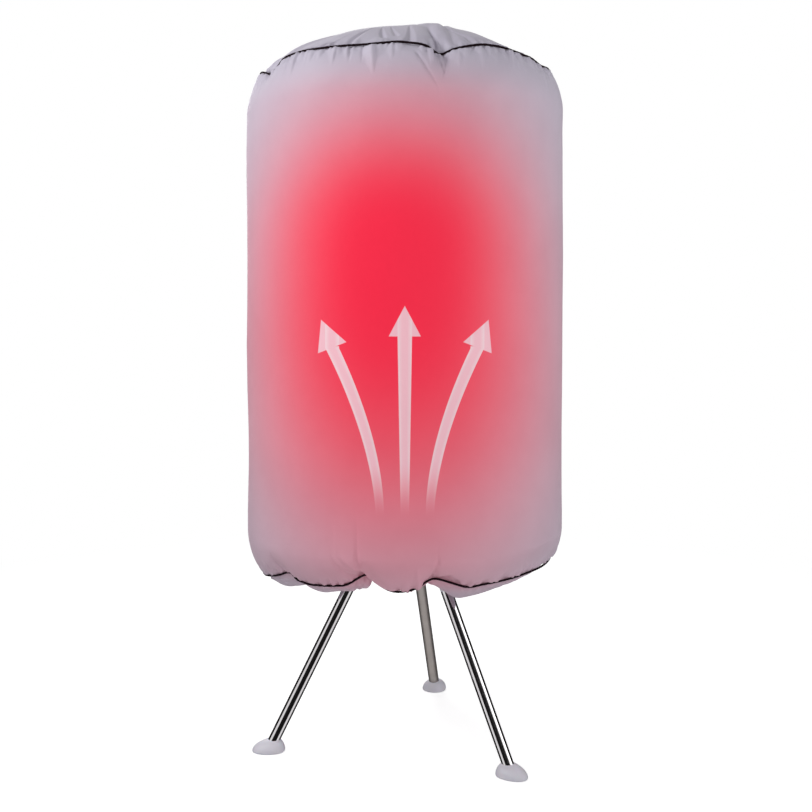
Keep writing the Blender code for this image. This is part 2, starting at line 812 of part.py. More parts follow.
def build_leg(name, azimuth):
    hinge = hinge_point(f"{name}_leg_hinge", upright(azimuth, leg_pivot_radius, leg_pivot_height))
    along = turn(leg_angle, "Z") @ turn(-90, "X")
    bore = tube_radius - tube_wall
    steel = "satin_steel" if name == "rear" else "polished_steel"
    tube = ring(tube_radius, bore, -leg_end, -collar_end - seat_gap)
    turned(f"{name}_leg_tube", tube, steel, along, hinge)

    # The heel meets the ring's underside when the leg stands, and turns away from it when the leg folds in
    heel_top = pivot_drop - seat_gap
    outline = [(0, heel_top), (heel_length, heel_top), (heel_length, 0)]
    outline += arc((0, 0), knuckle_head_radius, 0, -270, 15)
    knuckle = plate(f"{name}_leg_knuckle", [outline[::-1]], 2 * tube_radius, "white_plastic", None, hinge)
    plug = [(0, -collar_start), (tube_radius, -collar_start), (tube_radius, -collar_end)]
    plug += [(bore - seat_gap, -collar_end), (bore - seat_gap, -plug_end), (0, -plug_end)]
    join(knuckle, turned(f"{name}_leg_plug", plug, frame=along, parent=hinge, closed=False))
    eye = solid_round(pin_radius + seat_gap, -tube_radius - cut_overrun, tube_radius + cut_overrun)
    cut(knuckle, turned(f"{name}_leg_eye", eye, parent=hinge, closed=False, size="small"))

    inner = tube_radius + side_gap + ear_wall + seat_gap
    outer = inner + pin_head_height
    outline = [(0, outer), (pin_head_radius, outer), (pin_head_radius, inner), (pin_radius, inner)]
    outline += [(pin_radius, -inner), (pin_head_radius, -inner), (pin_head_radius, -outer), (0, -outer)]
    turned(f"{name}_leg_pin", outline, "zinc", None, hinge, closed=False, size="small")

    foot = build_foot(f"{name}_foot", hinge)
    hole = solid_round(tube_radius + seat_gap, -leg_end - seat_gap, -collar_end)
    cut(foot, turned(f"{name}_foot_bore", hole, frame=along, parent=hinge, closed=False))


# A half ellipsoid with a flat sole, leaning inward so that the toe is long and the heel is steep
def build_foot(name, hinge):
    mesh = bpy.data.meshes.new(name)
    shape = bmesh.new()
    bmesh.ops.create_uvsphere(shape, u_segments=16, v_segments=12, radius=1)
    everything = shape.verts[:] + shape.edges[:] + shape.faces[:]
    bmesh.ops.bisect_plane(shape, geom=everything, plane_co=(0, 0, 0), plane_no=(0, 0, 1), clear_inner=True)
    rim = [edge for edge in shape.edges if edge.is_boundary]
    bmesh.ops.contextual_create(shape, geom=rim)
    for vertex in shape.verts:
        x, y, z = vertex.co
        lean = foot_lean_share * foot_height * z
        vertex.co = (x * foot_half_length - lean, y * foot_half_width, z * foot_height)
    bmesh.ops.recalc_face_normals(shape, faces=shape.faces)
    shape.to_mesh(mesh)
    shape.free()
    spot = move(foot_circle - leg_pivot_radius, -leg_pivot_height, 0) @ turn(-90, "X")
    return place(name, mesh, "white_plastic", spot, hinge)


# The cap's crown falls with the cover's first ring, and rounds off below it
def cap_fall(share):
    dome = total_height - panel_wall / 2 - top_rim_height
    slope = dome * top_ring_shares[0] / (top_rim_radius - seam_clear)
    return slope * share * cap_radius + cap_crown * share**2


def build_pole():
    bore = lower_radius + seat_gap
    sleeve = bore + sleeve_wall
    floor = flange_seat + flange_thickness
    outline = [(0, floor), (bore, floor), (bore, floor + sleeve_height), (sleeve, floor + sleeve_height)]
    outline += [(sleeve, floor), (flange_radius, floor), (flange_radius, flange_seat), (0, flange_seat)]
    turned("pole_socket", outline, "white_plastic", closed=False)
    inside = lower_radius - pole_wall
    turned("pole_lower_tube", ring(lower_radius, inside, tube_seat, lower_top), "satin_steel")
    slide = upper_radius + seat_gap
    turned("pole_bush", ring(inside - seat_gap, slide, lower_top - bush_height, lower_top), "dark_plastic")
    rest = lower_top + seat_gap
    outline = [(lock_radius, lower_top + lock_above), (lock_radius, lower_top - lock_below)]
    outline += [(bore, lower_top - lock_below), (bore, rest), (slide, rest), (slide, lower_top + lock_above)]
    turned("pole_lock_sleeve", outline, "dark_plastic")
    tube = ring(upper_radius, upper_radius - pole_wall, lower_top - pole_overlap, upper_top)
    turned("pole_upper_tube", tube, "satin_steel")
    plug = upper_radius - pole_wall - seat_gap
    outline = [(share * cap_radius, cap_top - cap_fall(share)) for share in cap_ring_shares]
    plug_base = cap_base - cap_plug
    outline += [(cap_radius, cap_base), (plug, cap_base), (plug, plug_base), (0, plug_base)]
    turned("top_cap", outline, "white_plastic", closed=False)


# X runs outward from the pivot and Y up. Scallops in the top edge keep hangers apart, and the tip turns up
def arm_outline():
    length = arm_reach - pivot_circle
    upper = arm_head_radius
    tip_start = length - 2 * arm_tip_width
    first = crown_radius - pivot_circle + arm_head_radius
    pitch = (tip_start - first) / scallop_count
    outline = arc((0, 0), arm_head_radius, 270, 90, 8)
    for i in range(scallop_count):
        start = first + pitch * (i + scallop_start_share)
        for share in scallop_arc_shares:
            dip = scallop_depth * math.sin(math.pi * share)
            outline.append((start + pitch * scallop_length_share * share, upper - dip))
    outline += [(tip_start, upper), (length - arm_tip_width, arm_tip_rise), (length, arm_tip_rise)]
    outline.append((length, -arm_end_depth))
    outline += [(share * length, -arm_depth) for share in arm_belly_shares[::-1]]
    return outline[::-1]


def build_rack():
    spin = front_azimuth + first_arm_angle
    top = pivot_height + arm_head_radius + seat_gap + crown_roof
    low = pivot_height - crown_below
    body = ring(crown_radius, upper_radius + seat_gap, low, top)
    crown = turned("crown", body, "white_plastic", turn(spin, "Z"), size="crown")
    roof = arm_head_radius + seat_gap
    half_slot = arm_thickness / 2 + seat_gap
    tunnel = arc((pivot_circle, pivot_height), wire_radius + seat_gap, 90, -270, 6)[:-1]
    for i in range(arm_count):
        azimuth = spin + 360 * i / arm_count
        slot_low = (-arm_head_radius - seat_gap, -crown_below - cut_overrun, -half_slot)
        slot_high = (crown_radius - pivot_circle + cut_overrun, roof, half_slot)
        spot = upright(azimuth, pivot_circle, pivot_height)
        cut(crown, box(f"arm_slot_{i + 1}", slot_low, slot_high, frame=spot))
        hinge = hinge_point(f"arm_{i + 1}_hinge", spot)
        eye = arc((0, 0), wire_radius + eye_gap, 0, 360, 12)[:-1]
        outlines = [arm_outline(), eye]
        plate(f"arm_{i + 1}", outlines, arm_thickness, "white_plastic", None, hinge, as_mesh=False)
    cut(crown, turned("wire_tunnel", tunnel, frame=turn(spin, "Z"), size="crown"))
    wire = arc((pivot_circle, pivot_height), wire_radius, 90, -270, 6)[:-1]
    turned("crown_ring", wire, "zinc", turn(spin, "Z"), size="crown")

    # A grub screw between two arms, above the ring wire, holds the crown on the pole
    between = spin + 180 / arm_count
    level = top - crown_roof
    screw_frame = outward(between, 0, level)
    hole = solid_round(grub_radius + seat_gap, 0, crown_radius + cut_overrun)
    cut(crown, turned("grub_hole", hole, frame=screw_frame, closed=False, size="small"))
    grub = solid_round(grub_radius, upper_radius + seat_gap, crown_radius - cut_overrun)
    turned("crown_screw", grub, "zinc", screw_frame, closed=False, size="small")


clear_scene()
dryer = new_collection("portable_clothes_dryer")
cutters = new_collection("cutters")
build_cover()
build_zip()
build_housing()
build_blower()
build_controls()
build_tripod()
for leg_name, leg_azimuth in leg_azimuths.items():
    build_leg(leg_name, leg_azimuth)
build_pole()
build_rack()
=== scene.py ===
# Portable clothes dryer: a blown-out fabric cover over a folding rack, on a blower and three folding legs.
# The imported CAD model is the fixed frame. Metres, +Z up, front towards -Y, origin on the floor under the pole.
import math
from functools import partial

import bpy
import numpy as np
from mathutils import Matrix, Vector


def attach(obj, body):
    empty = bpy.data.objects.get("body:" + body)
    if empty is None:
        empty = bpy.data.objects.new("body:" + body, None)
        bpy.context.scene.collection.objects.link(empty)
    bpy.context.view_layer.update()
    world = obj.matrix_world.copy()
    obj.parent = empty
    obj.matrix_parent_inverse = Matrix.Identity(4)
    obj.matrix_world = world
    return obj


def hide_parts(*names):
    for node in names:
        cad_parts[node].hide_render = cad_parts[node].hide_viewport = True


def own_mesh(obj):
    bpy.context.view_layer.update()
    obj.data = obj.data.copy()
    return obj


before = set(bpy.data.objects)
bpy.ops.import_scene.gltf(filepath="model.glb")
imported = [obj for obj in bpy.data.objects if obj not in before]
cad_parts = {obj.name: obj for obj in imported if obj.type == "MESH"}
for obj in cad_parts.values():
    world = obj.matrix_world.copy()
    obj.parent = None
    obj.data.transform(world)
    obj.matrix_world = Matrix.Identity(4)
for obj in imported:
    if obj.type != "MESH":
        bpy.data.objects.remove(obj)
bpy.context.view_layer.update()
dice = np.random.RandomState(41)
print("frame loaded")


# sRGB hex to linear: c / 12.92 below 0.04045, else ((c + 0.055) / 1.055) to the power 2.4
def toLinear(hexColour):
    values = [int(hexColour[i:i + 2], 16) / 255 for i in (1, 3, 5)]
    return (*[c / 12.92 if c < 0.04045 else ((c + 0.055) / 1.055) ** 2.4 for c in values], 1)


# Fills a node's sockets, by name or in order, with numbers, vectors, hex colours or other nodes' outputs
def fill(node, sockets):
    for name, value in sockets.items() if isinstance(sockets, dict) else enumerate(sockets):
        if isinstance(value, bpy.types.NodeSocket):
            node.id_data.links.new(value, node.inputs[name])
        else:
            node.inputs[name].default_value = toLinear(value) if isinstance(value, str) else value


# Adds one node with its settings and sockets, and gives back one of its outputs. A Mix of colours takes its share at
# socket 0 and the colours at 6 and 7, and gives the mixed one as output 2
def addNode(tree, kind, sockets=(), out=0, **settings):
    node = tree.nodes.new("ShaderNode" + kind)
    for name, value in settings.items():
        setattr(node, name, value)
    fill(node, sockets)
    return node.outputs[out]


# A Principled material whose plain values sit on the shader's own sockets, with a short way to add nodes to it
def newMaterial(name, values):
    material = bpy.data.materials.new(name)
    material.use_nodes = True
    shader = material.node_tree.nodes["Principled BSDF"]
    fill(shader, values)
    return material, partial(addNode, material.node_tree), shader


# Corner rows and columns of the quads of a grid that closes round its columns, and round its rows when looped
def gridCorners(rows, columns, looped):
    r = np.arange(rows if looped else rows - 1)[:, None]
    c = np.arange(columns)[None, :]
    r, c = (a.ravel() for a in np.broadcast_arrays(r, c))
    return np.stack([r, r, r + 1, r + 1], axis=-1), np.stack([c, c + 1, c + 1, c], axis=-1)


# True when the quads face outwards: their corners' triple products about the middle of the points add up above 0
def facesOutwards(points, quads):
    a, b, c, d = (points[quads[:, i]] - points.mean(axis=0) for i in range(4))
    return (a * np.cross(b, c)).sum() + (a * np.cross(c, d)).sum() > 0


# A mesh from a rows x columns grid of points. ends: "loop" closes the rows on themselves, "pole" draws the first and
# last rows together, "cap" closes them with a flat face. uv: the width round the columns and each row's distance
def gridPiece(name, grid, material, ends="loop", uv=None, sharp=None):
    rows, columns = grid.shape[:2]
    atRow, atColumn = gridCorners(rows, columns, ends == "loop")
    quads = atRow % rows * columns + atColumn % columns
    points = grid.reshape(-1, 3)
    step = 1 if facesOutwards(points, quads) else -1
    if ends == "pole":
        quads = np.clip(quads - columns + 1, 0, (rows - 2) * columns + 1)
        points = np.vstack([points[:1], points[columns:-columns], points[-1:]])
        faces = quads[columns:-columns, ::step].tolist()
        faces += quads[:columns][:, [0, 2, 3]][:, ::step].tolist() + quads[-columns:][:, :3][:, ::step].tolist()
    else:
        faces = quads[:, ::step].tolist()
    if ends == "cap":
        first = list(range(columns))
        last = list(range((rows - 1) * columns, rows * columns))
        faces += [first[::-step], last[::step]]
    mesh = bpy.data.meshes.new(name)
    mesh.from_pydata(points.tolist(), [], faces)
    mesh.polygons.foreach_set("use_smooth", np.ones(len(mesh.polygons), bool))
    if sharp:
        mesh.set_sharp_from_angle(angle=math.radians(sharp))
    if uv is not None:
        width, distances = uv
        across = atColumn * (width / columns)
        along = np.asarray(distances)[atRow % rows]
        corners = np.stack([across, along], axis=-1)[:, ::step]
        mesh.uv_layers.new(name="surface").data.foreach_set("uv", corners.ravel())
    # Where each point rests, so that a pattern stays on cloth that a joint flattens
    mesh.attributes.new("rest", "FLOAT_VECTOR", "POINT").data.foreach_set("vector", points.ravel())
    mesh.update()
    mesh.materials.append(material)
    piece = bpy.data.objects.new(name, mesh)
    bpy.context.scene.collection.objects.link(piece)
    return piece


# A profile of (radius, height) turned round an axis: origin + height * axis + radius * (cos a * side + sin a * across)
def turned(name, profile, material, origin, axis, uv, steps=72, sharp=35):
    axis = np.array(axis) / np.linalg.norm(axis)
    side = np.cross(axis, (0, 0, 1))
    side /= np.linalg.norm(side)
    across = np.cross(axis, side)
    around = np.arange(steps) / steps * 2 * np.pi
    radius, height = np.array(profile, float).T[:, :, None]
    spokes = np.cos(around)[:, None] * side + np.sin(around)[:, None] * across
    grid = np.array(origin) + height[..., None] * axis + radius[..., None] * spokes
    return gridPiece(name, grid, material, "loop", uv, sharp)


# The same angle between -180 and 180 degrees
def wrapped(degrees):
    return (degrees + 180) % 360 - 180


# 1 at the centre, falling as a raised cosine to 0 at the half width: (1 + cos(pi * away / half)) / 2
def fold(angles, centre, half):
    away = np.abs(wrapped(angles - centre)) / half
    return np.where(away < 1, (1 + np.cos(np.pi * np.minimum(away, 1))) / 2, 0)


# A ridge with two flat sides and a crest that is rounded off a little: max(0, 1.08 - sqrt(share^2 + 0.08^2))
def tent(share):
    return np.maximum(0, 1.08 - np.sqrt(share**2 + 0.0064))


# Random waves round the cover: the sum of cosines with whole counts between two limits
def ripples(angles, low, high, terms=9):
    counts = dice.randint(low, high, terms)
    phases = dice.uniform(0, 2 * np.pi, terms)
    waves = np.cos(np.radians(angles)[..., None] * counts + phases)
    return waves.sum(axis=-1) / math.sqrt(terms)


# Studio: a white floor that fades into a white surround, soft lamps, and dark cards that only polished metal shows
studio = {
    "cameraPlace": (0.002, -2.1447, 0.8797),
    "cameraTilt": 84.13,
    "lens": 49.43,
    "floorHex": "#D8D8D8",
    "floorFade": (0.75, 1.9),
    "floorLift": 0.68,
    # strength of the surround straight up and at eye level, for soft light only
    "ambient": (0.13, 0.40),
    # place, aim, width, height and watts of each lamp
    "lamps": {
        "key": ((-1.80, -0.70, 2.35), (0, 0, 0.98), 0.9, 0.9, 29),
        "front": ((0.5, -3.2, 1.4), (0, 0, 0.90), 1.4, 1.4, 13),
        "fill": ((2.0, -0.9, 1.05), (0, 0, 0.85), 1.2, 1.4, 9.9),
        "back": ((-0.6, 2.6, 1.7), (0, 0, 0.85), 1.6, 1.4, 28),
    },
    # first and last azimuth, distance and height range of each dark screen
    "screens": {"front": (-134, -56, 3.0, -2.0, 2.6), "rear": (-6, 186, 3.6, -4.4, 2.6)},
}
photoCamera = bpy.data.cameras.new("front view")
photoCamera.lens = studio["lens"]
photoCamera.sensor_width = 36
camera = bpy.data.objects.new("front view", photoCamera)
camera.location = studio["cameraPlace"]
camera.rotation_euler = (math.radians(studio["cameraTilt"]), 0, 0)
bpy.context.scene.collection.objects.link(camera)
bpy.context.scene.camera = camera
bpy.context.scene.view_settings.view_transform = "Standard"


# A flat rectangle whose corners are centre - or + across, - or + up
def flatCard(name, centre, across, up, material):
    centre, across, up = (np.array(v, float) for v in (centre, across, up))
    corners = [centre - across - up, centre + across - up, centre + across + up, centre - across + up]
    mesh = bpy.data.meshes.new(name)
    mesh.from_pydata(corners, [], [(0, 1, 2, 3)])
    mesh.materials.append(material)
    card = bpy.data.objects.new(name, mesh)
    bpy.context.scene.collection.objects.link(card)
    return card


# Matt white studio paper, whose far part shines plain white to every ray so that no horizon shows
paper, add, shader = newMaterial("studio paper", {"Base Color": studio["floorHex"], "Roughness": 0.9})
near, far = studio["floorFade"]
away = add("VectorMath", (add("TexCoord", out="Object"),), out="Value", operation="LENGTH")
fade = add("MapRange", {"Value": away, "From Min": near, "From Max": far}, interpolation_type="SMOOTHSTEP")
plainWhite = add("Emission", {"Strength": 1.0})
# The paper is lifted to white for what the camera and mirrors see, and lights the object no more for it
rays = add("LightPath").node.outputs
seen = add("Math", (rays["Is Camera Ray"], rays["Is Glossy Ray"]), operation="ADD")
lift = add("Emission", {"Strength": add("Math", (seen, studio["floorLift"]), operation="MULTIPLY")})
lifted = add("AddShader", (shader.outputs[0], lift))
fill(paper.node_tree.nodes["Material Output"], {"Surface": add("MixShader", (fade, lifted, plainWhite))})
floor = flatCard("floor", (0, 0, 0), (9, 0, 0), (0, 9, 0), paper)
floor.visible_glossy = False    # mirrors see the white surround in its place

world = bpy.data.worlds.new("white surround")
bpy.context.scene.world = world
world.use_nodes = True
add = partial(addNode, world.node_tree)
rays = add("LightPath").node.outputs
seen = add("Math", (rays["Is Camera Ray"], rays["Is Glossy Ray"]), operation="ADD")
seen = add("Math", (seen, rays["Is Transmission Ray"]), operation="ADD", use_clamp=True)
upward = add("SeparateXYZ", (add("TexCoord"),)).node.outputs["Z"]
upward = add("Math", (upward,), operation="ABSOLUTE")
overhead, eyeLevel = studio["ambient"]
soft = add("MapRange", {"Value": upward, "To Min": eyeLevel, "To Max": overhead})
strength = add("MapRange", {"Value": seen, "To Min": soft, "To Max": 1.0})
fill(world.node_tree.nodes["Background"], {"Color": "#FFFFFF", "Strength": strength})

for name, (place, aim, width, height, watts) in studio["lamps"].items():
    lampData = bpy.data.lights.new(name, "AREA")
    lampData.shape = "RECTANGLE"
    lampData.size, lampData.size_y, lampData.energy = width, height, watts
    lamp = bpy.data.objects.new(name, lampData)
    lamp.location = place
    lamp.rotation_euler = (Vector(aim) - Vector(place)).to_track_quat("-Z", "Y").to_euler()
    lamp.visible_camera = False
    bpy.context.scene.collection.objects.link(lamp)

# Black felt card: it gives nothing back, so polished metal shows a dark band where it mirrors one
blackCard = newMaterial("black felt card", {"Base Color": "#0D0D0D", "Roughness": 1.0})[0]
for name, (first, last, distance, low, high) in studio["screens"].items():
    a = np.radians(np.linspace(first, last, 25))
    rim = np.stack([distance * np.cos(a), distance * np.sin(a), 0 * a], axis=-1)
    i = np.arange(24)
    mesh = bpy.data.meshes.new(f"{name}Screen")
    mesh.from_pydata(np.vstack([rim + (0, 0, low), rim + (0, 0, high)]).tolist(), [],
                     np.stack([i, i + 1, i + 26, i + 25], axis=-1).tolist())
    mesh.materials.append(blackCard)
    screen = bpy.data.objects.new(f"{name}Screen", mesh)
    bpy.context.scene.collection.objects.link(screen)
    screen.visible_camera = screen.visible_diffuse = screen.visible_shadow = screen.visible_transmission = False
print("studio ready")

# Silver-coated polyester taffeta: a plain weave under a thin metal-grey coat, so soft sheen and fine dry crinkles
cloth = {
    "hex": ("#C2BCCB", "#BBB5C4"),
    "threadPitch": 0.0016,     # real threads are 0.25 mm apart; drawn coarser so that they show
    "threadHeight": 0.00003,
    # pattern scale and height of the small crinkles and of the broad ones
    "crinkle": (1 / 0.014, 0.0005),
    "broad": (14.0, 0.0007),
    # painted glow, no lamp inside: its centre across and up, and its half-strength distances to the side, up and down
    "glowHex": "#F40D3A",
    "glowCentre": (-0.0165, 0.94),
    "glowSide": ((1.08, 0.170), (0.60, 0.212)),     # height and distance
    "glowUp": 0.184,
    "glowDown": 0.366,
    "glowPower": 2.3,
    "glowShare": 0.97,
    "glowGain": 0.16,
    # where it fades: below the top seam, on the underside and round the sides
    "glowTop": (1.285, 1.20),
    "glowFoot": (0.345, 0.372),
    "glowUnder": 0.45,     # what the underside keeps of it
    "glowDepth": (0.17, -0.10),
    "arrowHex": ("#FFCEDA", "#FFE6EC"),
    # foot x, reach sideways, head height and head tilt of each warm-air arrow
    "arrows": ((-0.042, -0.080, 0.785, 22), (0.0, 0.0, 0.805, 0), (0.042, 0.080, 0.785, -22)),
    "arrowFoot": (0.50, 0.60),     # it fades in between these heights
    "arrowHalf": (0.0075, 0.0125),     # half width at the foot and at the head
    "headHalf": 0.0275,
    "headLength": 0.052,
    "headOverlap": 0.004,
    "edgeBlur": 0.0012,
}


# Mask of one arrow: its body runs up x = foot + reach * t^1.8, and its head is a triangle turned by its tilt
def arrowMask(add, place, x, z, foot, reach, top, tilt):
    blur = cloth["edgeBlur"]
    rise = add("MapRange", {"Value": z, "From Min": cloth["arrowFoot"][0], "From Max": top})
    bend = add("Math", (rise, 1.8), operation="POWER")
    bend = add("Math", (bend, reach, foot), operation="MULTIPLY_ADD")
    side = add("Math", (add("Math", (x, bend), operation="SUBTRACT"),), operation="ABSOLUTE")
    half = add("MapRange", {"Value": rise, "To Min": cloth["arrowHalf"][0], "To Max": cloth["arrowHalf"][1]})
    inside = add("Math", (half, side), operation="SUBTRACT")
    body = add("Math", (inside, blur), operation="DIVIDE", use_clamp=True)
    under = add("Math", (top + cloth["headOverlap"], z), operation="SUBTRACT")
    under = add("Math", (under, blur), operation="DIVIDE", use_clamp=True)
    shaft = add("Math", (body, under), operation="MULTIPLY")
    atHead = add("Mapping", {"Vector": place, "Location": (-foot - reach, 0, -top)})
    atHead = add("VectorRotate", {"Vector": atHead, "Angle": math.radians(tilt)}, rotation_type="Y_AXIS")
    across, _, up = add("SeparateXYZ", (atHead,)).node.outputs
    across = add("Math", (across,), operation="ABSOLUTE")
    slope = -cloth["headHalf"] / cloth["headLength"]
    inside = add("Math", (up, slope, cloth["headHalf"]), operation="MULTIPLY_ADD")
    inside = add("Math", (inside, across), operation="SUBTRACT")
    head = add("Math", (inside, blur), operation="DIVIDE", use_clamp=True)
    above = add("Math", (up, blur), operation="DIVIDE", use_clamp=True)
    head = add("Math", (head, above), operation="MULTIPLY")
    rim = add("Math", (side, half), operation="DIVIDE")
    rim = add("MapRange", {"Value": rim, "From Min": 0.35, "From Max": 0.95})
    return add("Math", (shaft, head), operation="MAXIMUM"), add("Math", (rim, body), operation="MULTIPLY")


taffeta, add, shader = newMaterial("silver-coated taffeta", {
    "Roughness": 0.58, "Specular IOR Level": 0.22, "Sheen Weight": 0.06, "Sheen Roughness": 0.4,
    "Emission Color": cloth["glowHex"]})
place = add("Attribute", out="Vector", attribute_name="rest")
x, y, z = add("SeparateXYZ", (place,)).node.outputs
# Uneven coat: broad soft blotches
blotch = add("TexNoise", {"Vector": place, "Scale": 7.0, "Detail": 4.0, "Roughness": 0.55})
blotch = add("MapRange", {"Value": blotch, "From Min": 0.35, "From Max": 0.68})
plain = add("Mix", {0: blotch, 6: cloth["hex"][0], 7: cloth["hex"][1]}, out=2, data_type="RGBA")
# Painted glow, no lamp inside: 0.5^(across^2.3 + up^2.3), each in half-strength distances, and then 1 - (1 -
# share)^1.8
(topHeight, topHalf), (lowHeight, lowHalf) = cloth["glowSide"]
half = add("MapRange", {"Value": z, "From Min": topHeight, "From Max": lowHeight, "To Min": topHalf,
                        "To Max": lowHalf})
across = add("Math", (x, -cloth["glowCentre"][0]), operation="ADD")
across = add("Math", (add("Math", (across,), operation="ABSOLUTE"), half), operation="DIVIDE")
fromCentre = add("Math", (z, cloth["glowCentre"][1]), operation="SUBTRACT")
up = add("Math", (fromCentre, cloth["glowUp"]), operation="DIVIDE")
down = add("Math", (fromCentre, -cloth["glowDown"]), operation="DIVIDE")
away = [add("Math", (distance, cloth["glowPower"]), operation="POWER")
        for distance in (add("Math", (up, down), operation="MAXIMUM"), across)]
away = add("Math", away, operation="ADD")
warm = add("Math", (0.5, away), operation="POWER")
cold = add("Math", (add("Math", (1.0, warm), operation="SUBTRACT"), 1.8), operation="POWER")
warm = add("Math", (1.0, cold), operation="SUBTRACT")
for along, (none, full), least in ((y, cloth["glowDepth"], 0), (z, cloth["glowTop"], 0),
                                   (z, cloth["glowFoot"], cloth["glowUnder"])):
    fade = add("MapRange", {"Value": along, "From Min": none, "From Max": full, "To Min": least},
               interpolation_type="SMOOTHSTEP")
    warm = add("Math", (warm, fade), operation="MULTIPLY")
share = add("Math", (warm, cloth["glowShare"]), operation="MULTIPLY")
paintedGlowColour = add("Mix", {0: share, 6: plain, 7: cloth["glowHex"]}, out=2, data_type="RGBA")
# Arrows printed over it, on the front only, paler along their edges
masks = [arrowMask(add, place, x, z, *arrow) for arrow in cloth["arrows"]]
mask, rim = masks[0]
for otherMask, otherRim in masks[1:]:
    mask = add("Math", (mask, otherMask), operation="MAXIMUM")
    rim = add("Math", (rim, otherRim), operation="MAXIMUM")
fade = add("MapRange", {"Value": z, "From Min": cloth["arrowFoot"][0], "From Max": cloth["arrowFoot"][1],
                        "To Max": 0.92}, interpolation_type="SMOOTHSTEP")
mask = add("Math", (mask, fade), operation="MULTIPLY")
mask = add("Math", (mask, add("Math", (y, -0.05), operation="LESS_THAN")), operation="MULTIPLY")
arrowShade = add("Mix", {0: rim, 6: cloth["arrowHex"][0], 7: cloth["arrowHex"][1]}, out=2, data_type="RGBA")
unmasked = add("Math", (1.0, mask), operation="SUBTRACT")
paintedGlowStrength = add("Math", (warm, unmasked), operation="MULTIPLY")
# Threads both ways, and dry crinkles
u, v, _ = add("SeparateXYZ", (add("UVMap", uv_map="surface"),)).node.outputs
turns = 2 * math.pi / cloth["threadPitch"]
warp, weft = (add("Math", (add("Math", (way, turns), operation="MULTIPLY"),), operation="SINE")
              for way in (u, v))
threads = add("Math", (warp, weft), operation="MULTIPLY")
relief = add("Math", (threads, cloth["threadHeight"]), operation="MULTIPLY")
crinkle = add("TexNoise", {"Vector": place, "Scale": cloth["crinkle"][0], "Detail": 3.0, "Roughness": 0.6,
                           "Distortion": 0.8})
relief = add("Math", (crinkle, cloth["crinkle"][1], relief), operation="MULTIPLY_ADD")
broad = add("TexNoise", {"Vector": place, "Scale": cloth["broad"][0], "Detail": 2.0, "Distortion": 1.2})
relief = add("Math", (broad, cloth["broad"][1], relief), operation="MULTIPLY_ADD")
# The painted glow is also given off as emission, a glow with no lamp behind it
fill(shader, {
    "Base Color": add("Mix", {0: mask, 6: paintedGlowColour, 7: arrowShade}, out=2, data_type="RGBA"),
    "Emission Strength": add("Math", (paintedGlowStrength, cloth["glowGain"]), operation="MULTIPLY"),
    "Normal": add("Bump", {"Height": relief, "Distance": 1.0, "Strength": 0.8})})

# Black-plum cotton bias tape over a cord: a dull twill. Its slanted lines are 0.5 mm apart and drawn at 1.4 mm to show
biasTape = {"hex": ("#12050C", "#221019"), "linePitch": 0.0014, "lineHeight": 0.00012}
piping, add, shader = newMaterial("bias tape piping", {"Roughness": 0.85, "Specular IOR Level": 0.10})
u, v, _ = add("SeparateXYZ", (add("UVMap", uv_map="surface"),)).node.outputs
slanted = add("Math", (u, v), operation="ADD")
line = add("Math", (slanted, 2 * math.pi / biasTape["linePitch"]), operation="MULTIPLY")
line = add("Math", (add("Math", (line,), operation="SINE"), biasTape["lineHeight"]), operation="MULTIPLY")
wear = add("TexNoise", {"Vector": add("TexCoord", out="Object"), "Scale": 90.0, "Detail": 2.0})
fresh, worn = biasTape["hex"]
fill(shader, {"Base Color": add("Mix", {0: wear, 6: fresh, 7: worn}, out=2, data_type="RGBA"),
              "Normal": add("Bump", {"Height": line, "Distance": 1.0})})

# Woven nylon zip tape: a matt ribbon, its 0.5 mm threads drawn at 1.1 mm to show, with 2.4 mm stitches near each edge
zipCloth = {
    "hex": ("#A9A1AE", "#CFC8D2"),     # of the ribbon and of its stitches
    "threadPitch": 0.0011,
    "threadHeight": 0.00006,
    "stitchLine": 0.0095,     # from the middle
    "stitchHalf": 0.0005,
    "stitchLength": 0.0024,
    "stitchPitch": 0.0036,
    "stitchHeight": 0.0003,
}
zipWeave, add, shader = newMaterial("woven zip tape", {"Roughness": 0.8, "Sheen Weight": 0.1})
across, _, up = add("SeparateXYZ", (add("Attribute", out="Vector", attribute_name="rest"),)).node.outputs
turns = 2 * math.pi / zipCloth["threadPitch"]
rows, columns = (add("Math", (add("Math", (way, turns), operation="MULTIPLY"),), operation="SINE")
                 for way in (up, across))
weave = add("Math", (rows, columns), operation="MULTIPLY")
weave = add("Math", (weave, zipCloth["threadHeight"]), operation="MULTIPLY")
fromMiddle = add("Math", (across,), operation="ABSOLUTE")
fromLine = add("Math", (fromMiddle, zipCloth["stitchLine"]), operation="SUBTRACT")
fromLine = add("Math", (fromLine,), operation="ABSOLUTE")
onLine = add("Math", (fromLine, zipCloth["stitchHalf"]), operation="LESS_THAN")
dash = add("Math", (up, zipCloth["stitchPitch"] / 2), operation="PINGPONG")
dash = add("Math", (dash, zipCloth["stitchLength"] / 2), operation="LESS_THAN")
stitch = add("Math", (onLine, dash), operation="MULTIPLY")
height = add("Math", (stitch, zipCloth["stitchHeight"], weave), operation="MULTIPLY_ADD")
ribbon, thread = zipCloth["hex"]
fill(shader, {"Base Color": add("Mix", {0: stitch, 6: ribbon, 7: thread}, out=2, data_type="RGBA"),
              "Normal": add("Bump", {"Height": height, "Distance": 1.0})})

# Nylon zip coil: smooth drawn filament, satin, with pale streaks
coil, add, shader = newMaterial("nylon zip coil", {"Roughness": 0.35})
streak = add("TexNoise", {"Vector": add("TexCoord", out="Object"), "Scale": 200.0})
fill(shader, {"Base Color": add("Mix", {0: streak, 6: "#ADA6B2", 7: "#C6C0CB"}, out=2, data_type="RGBA")})


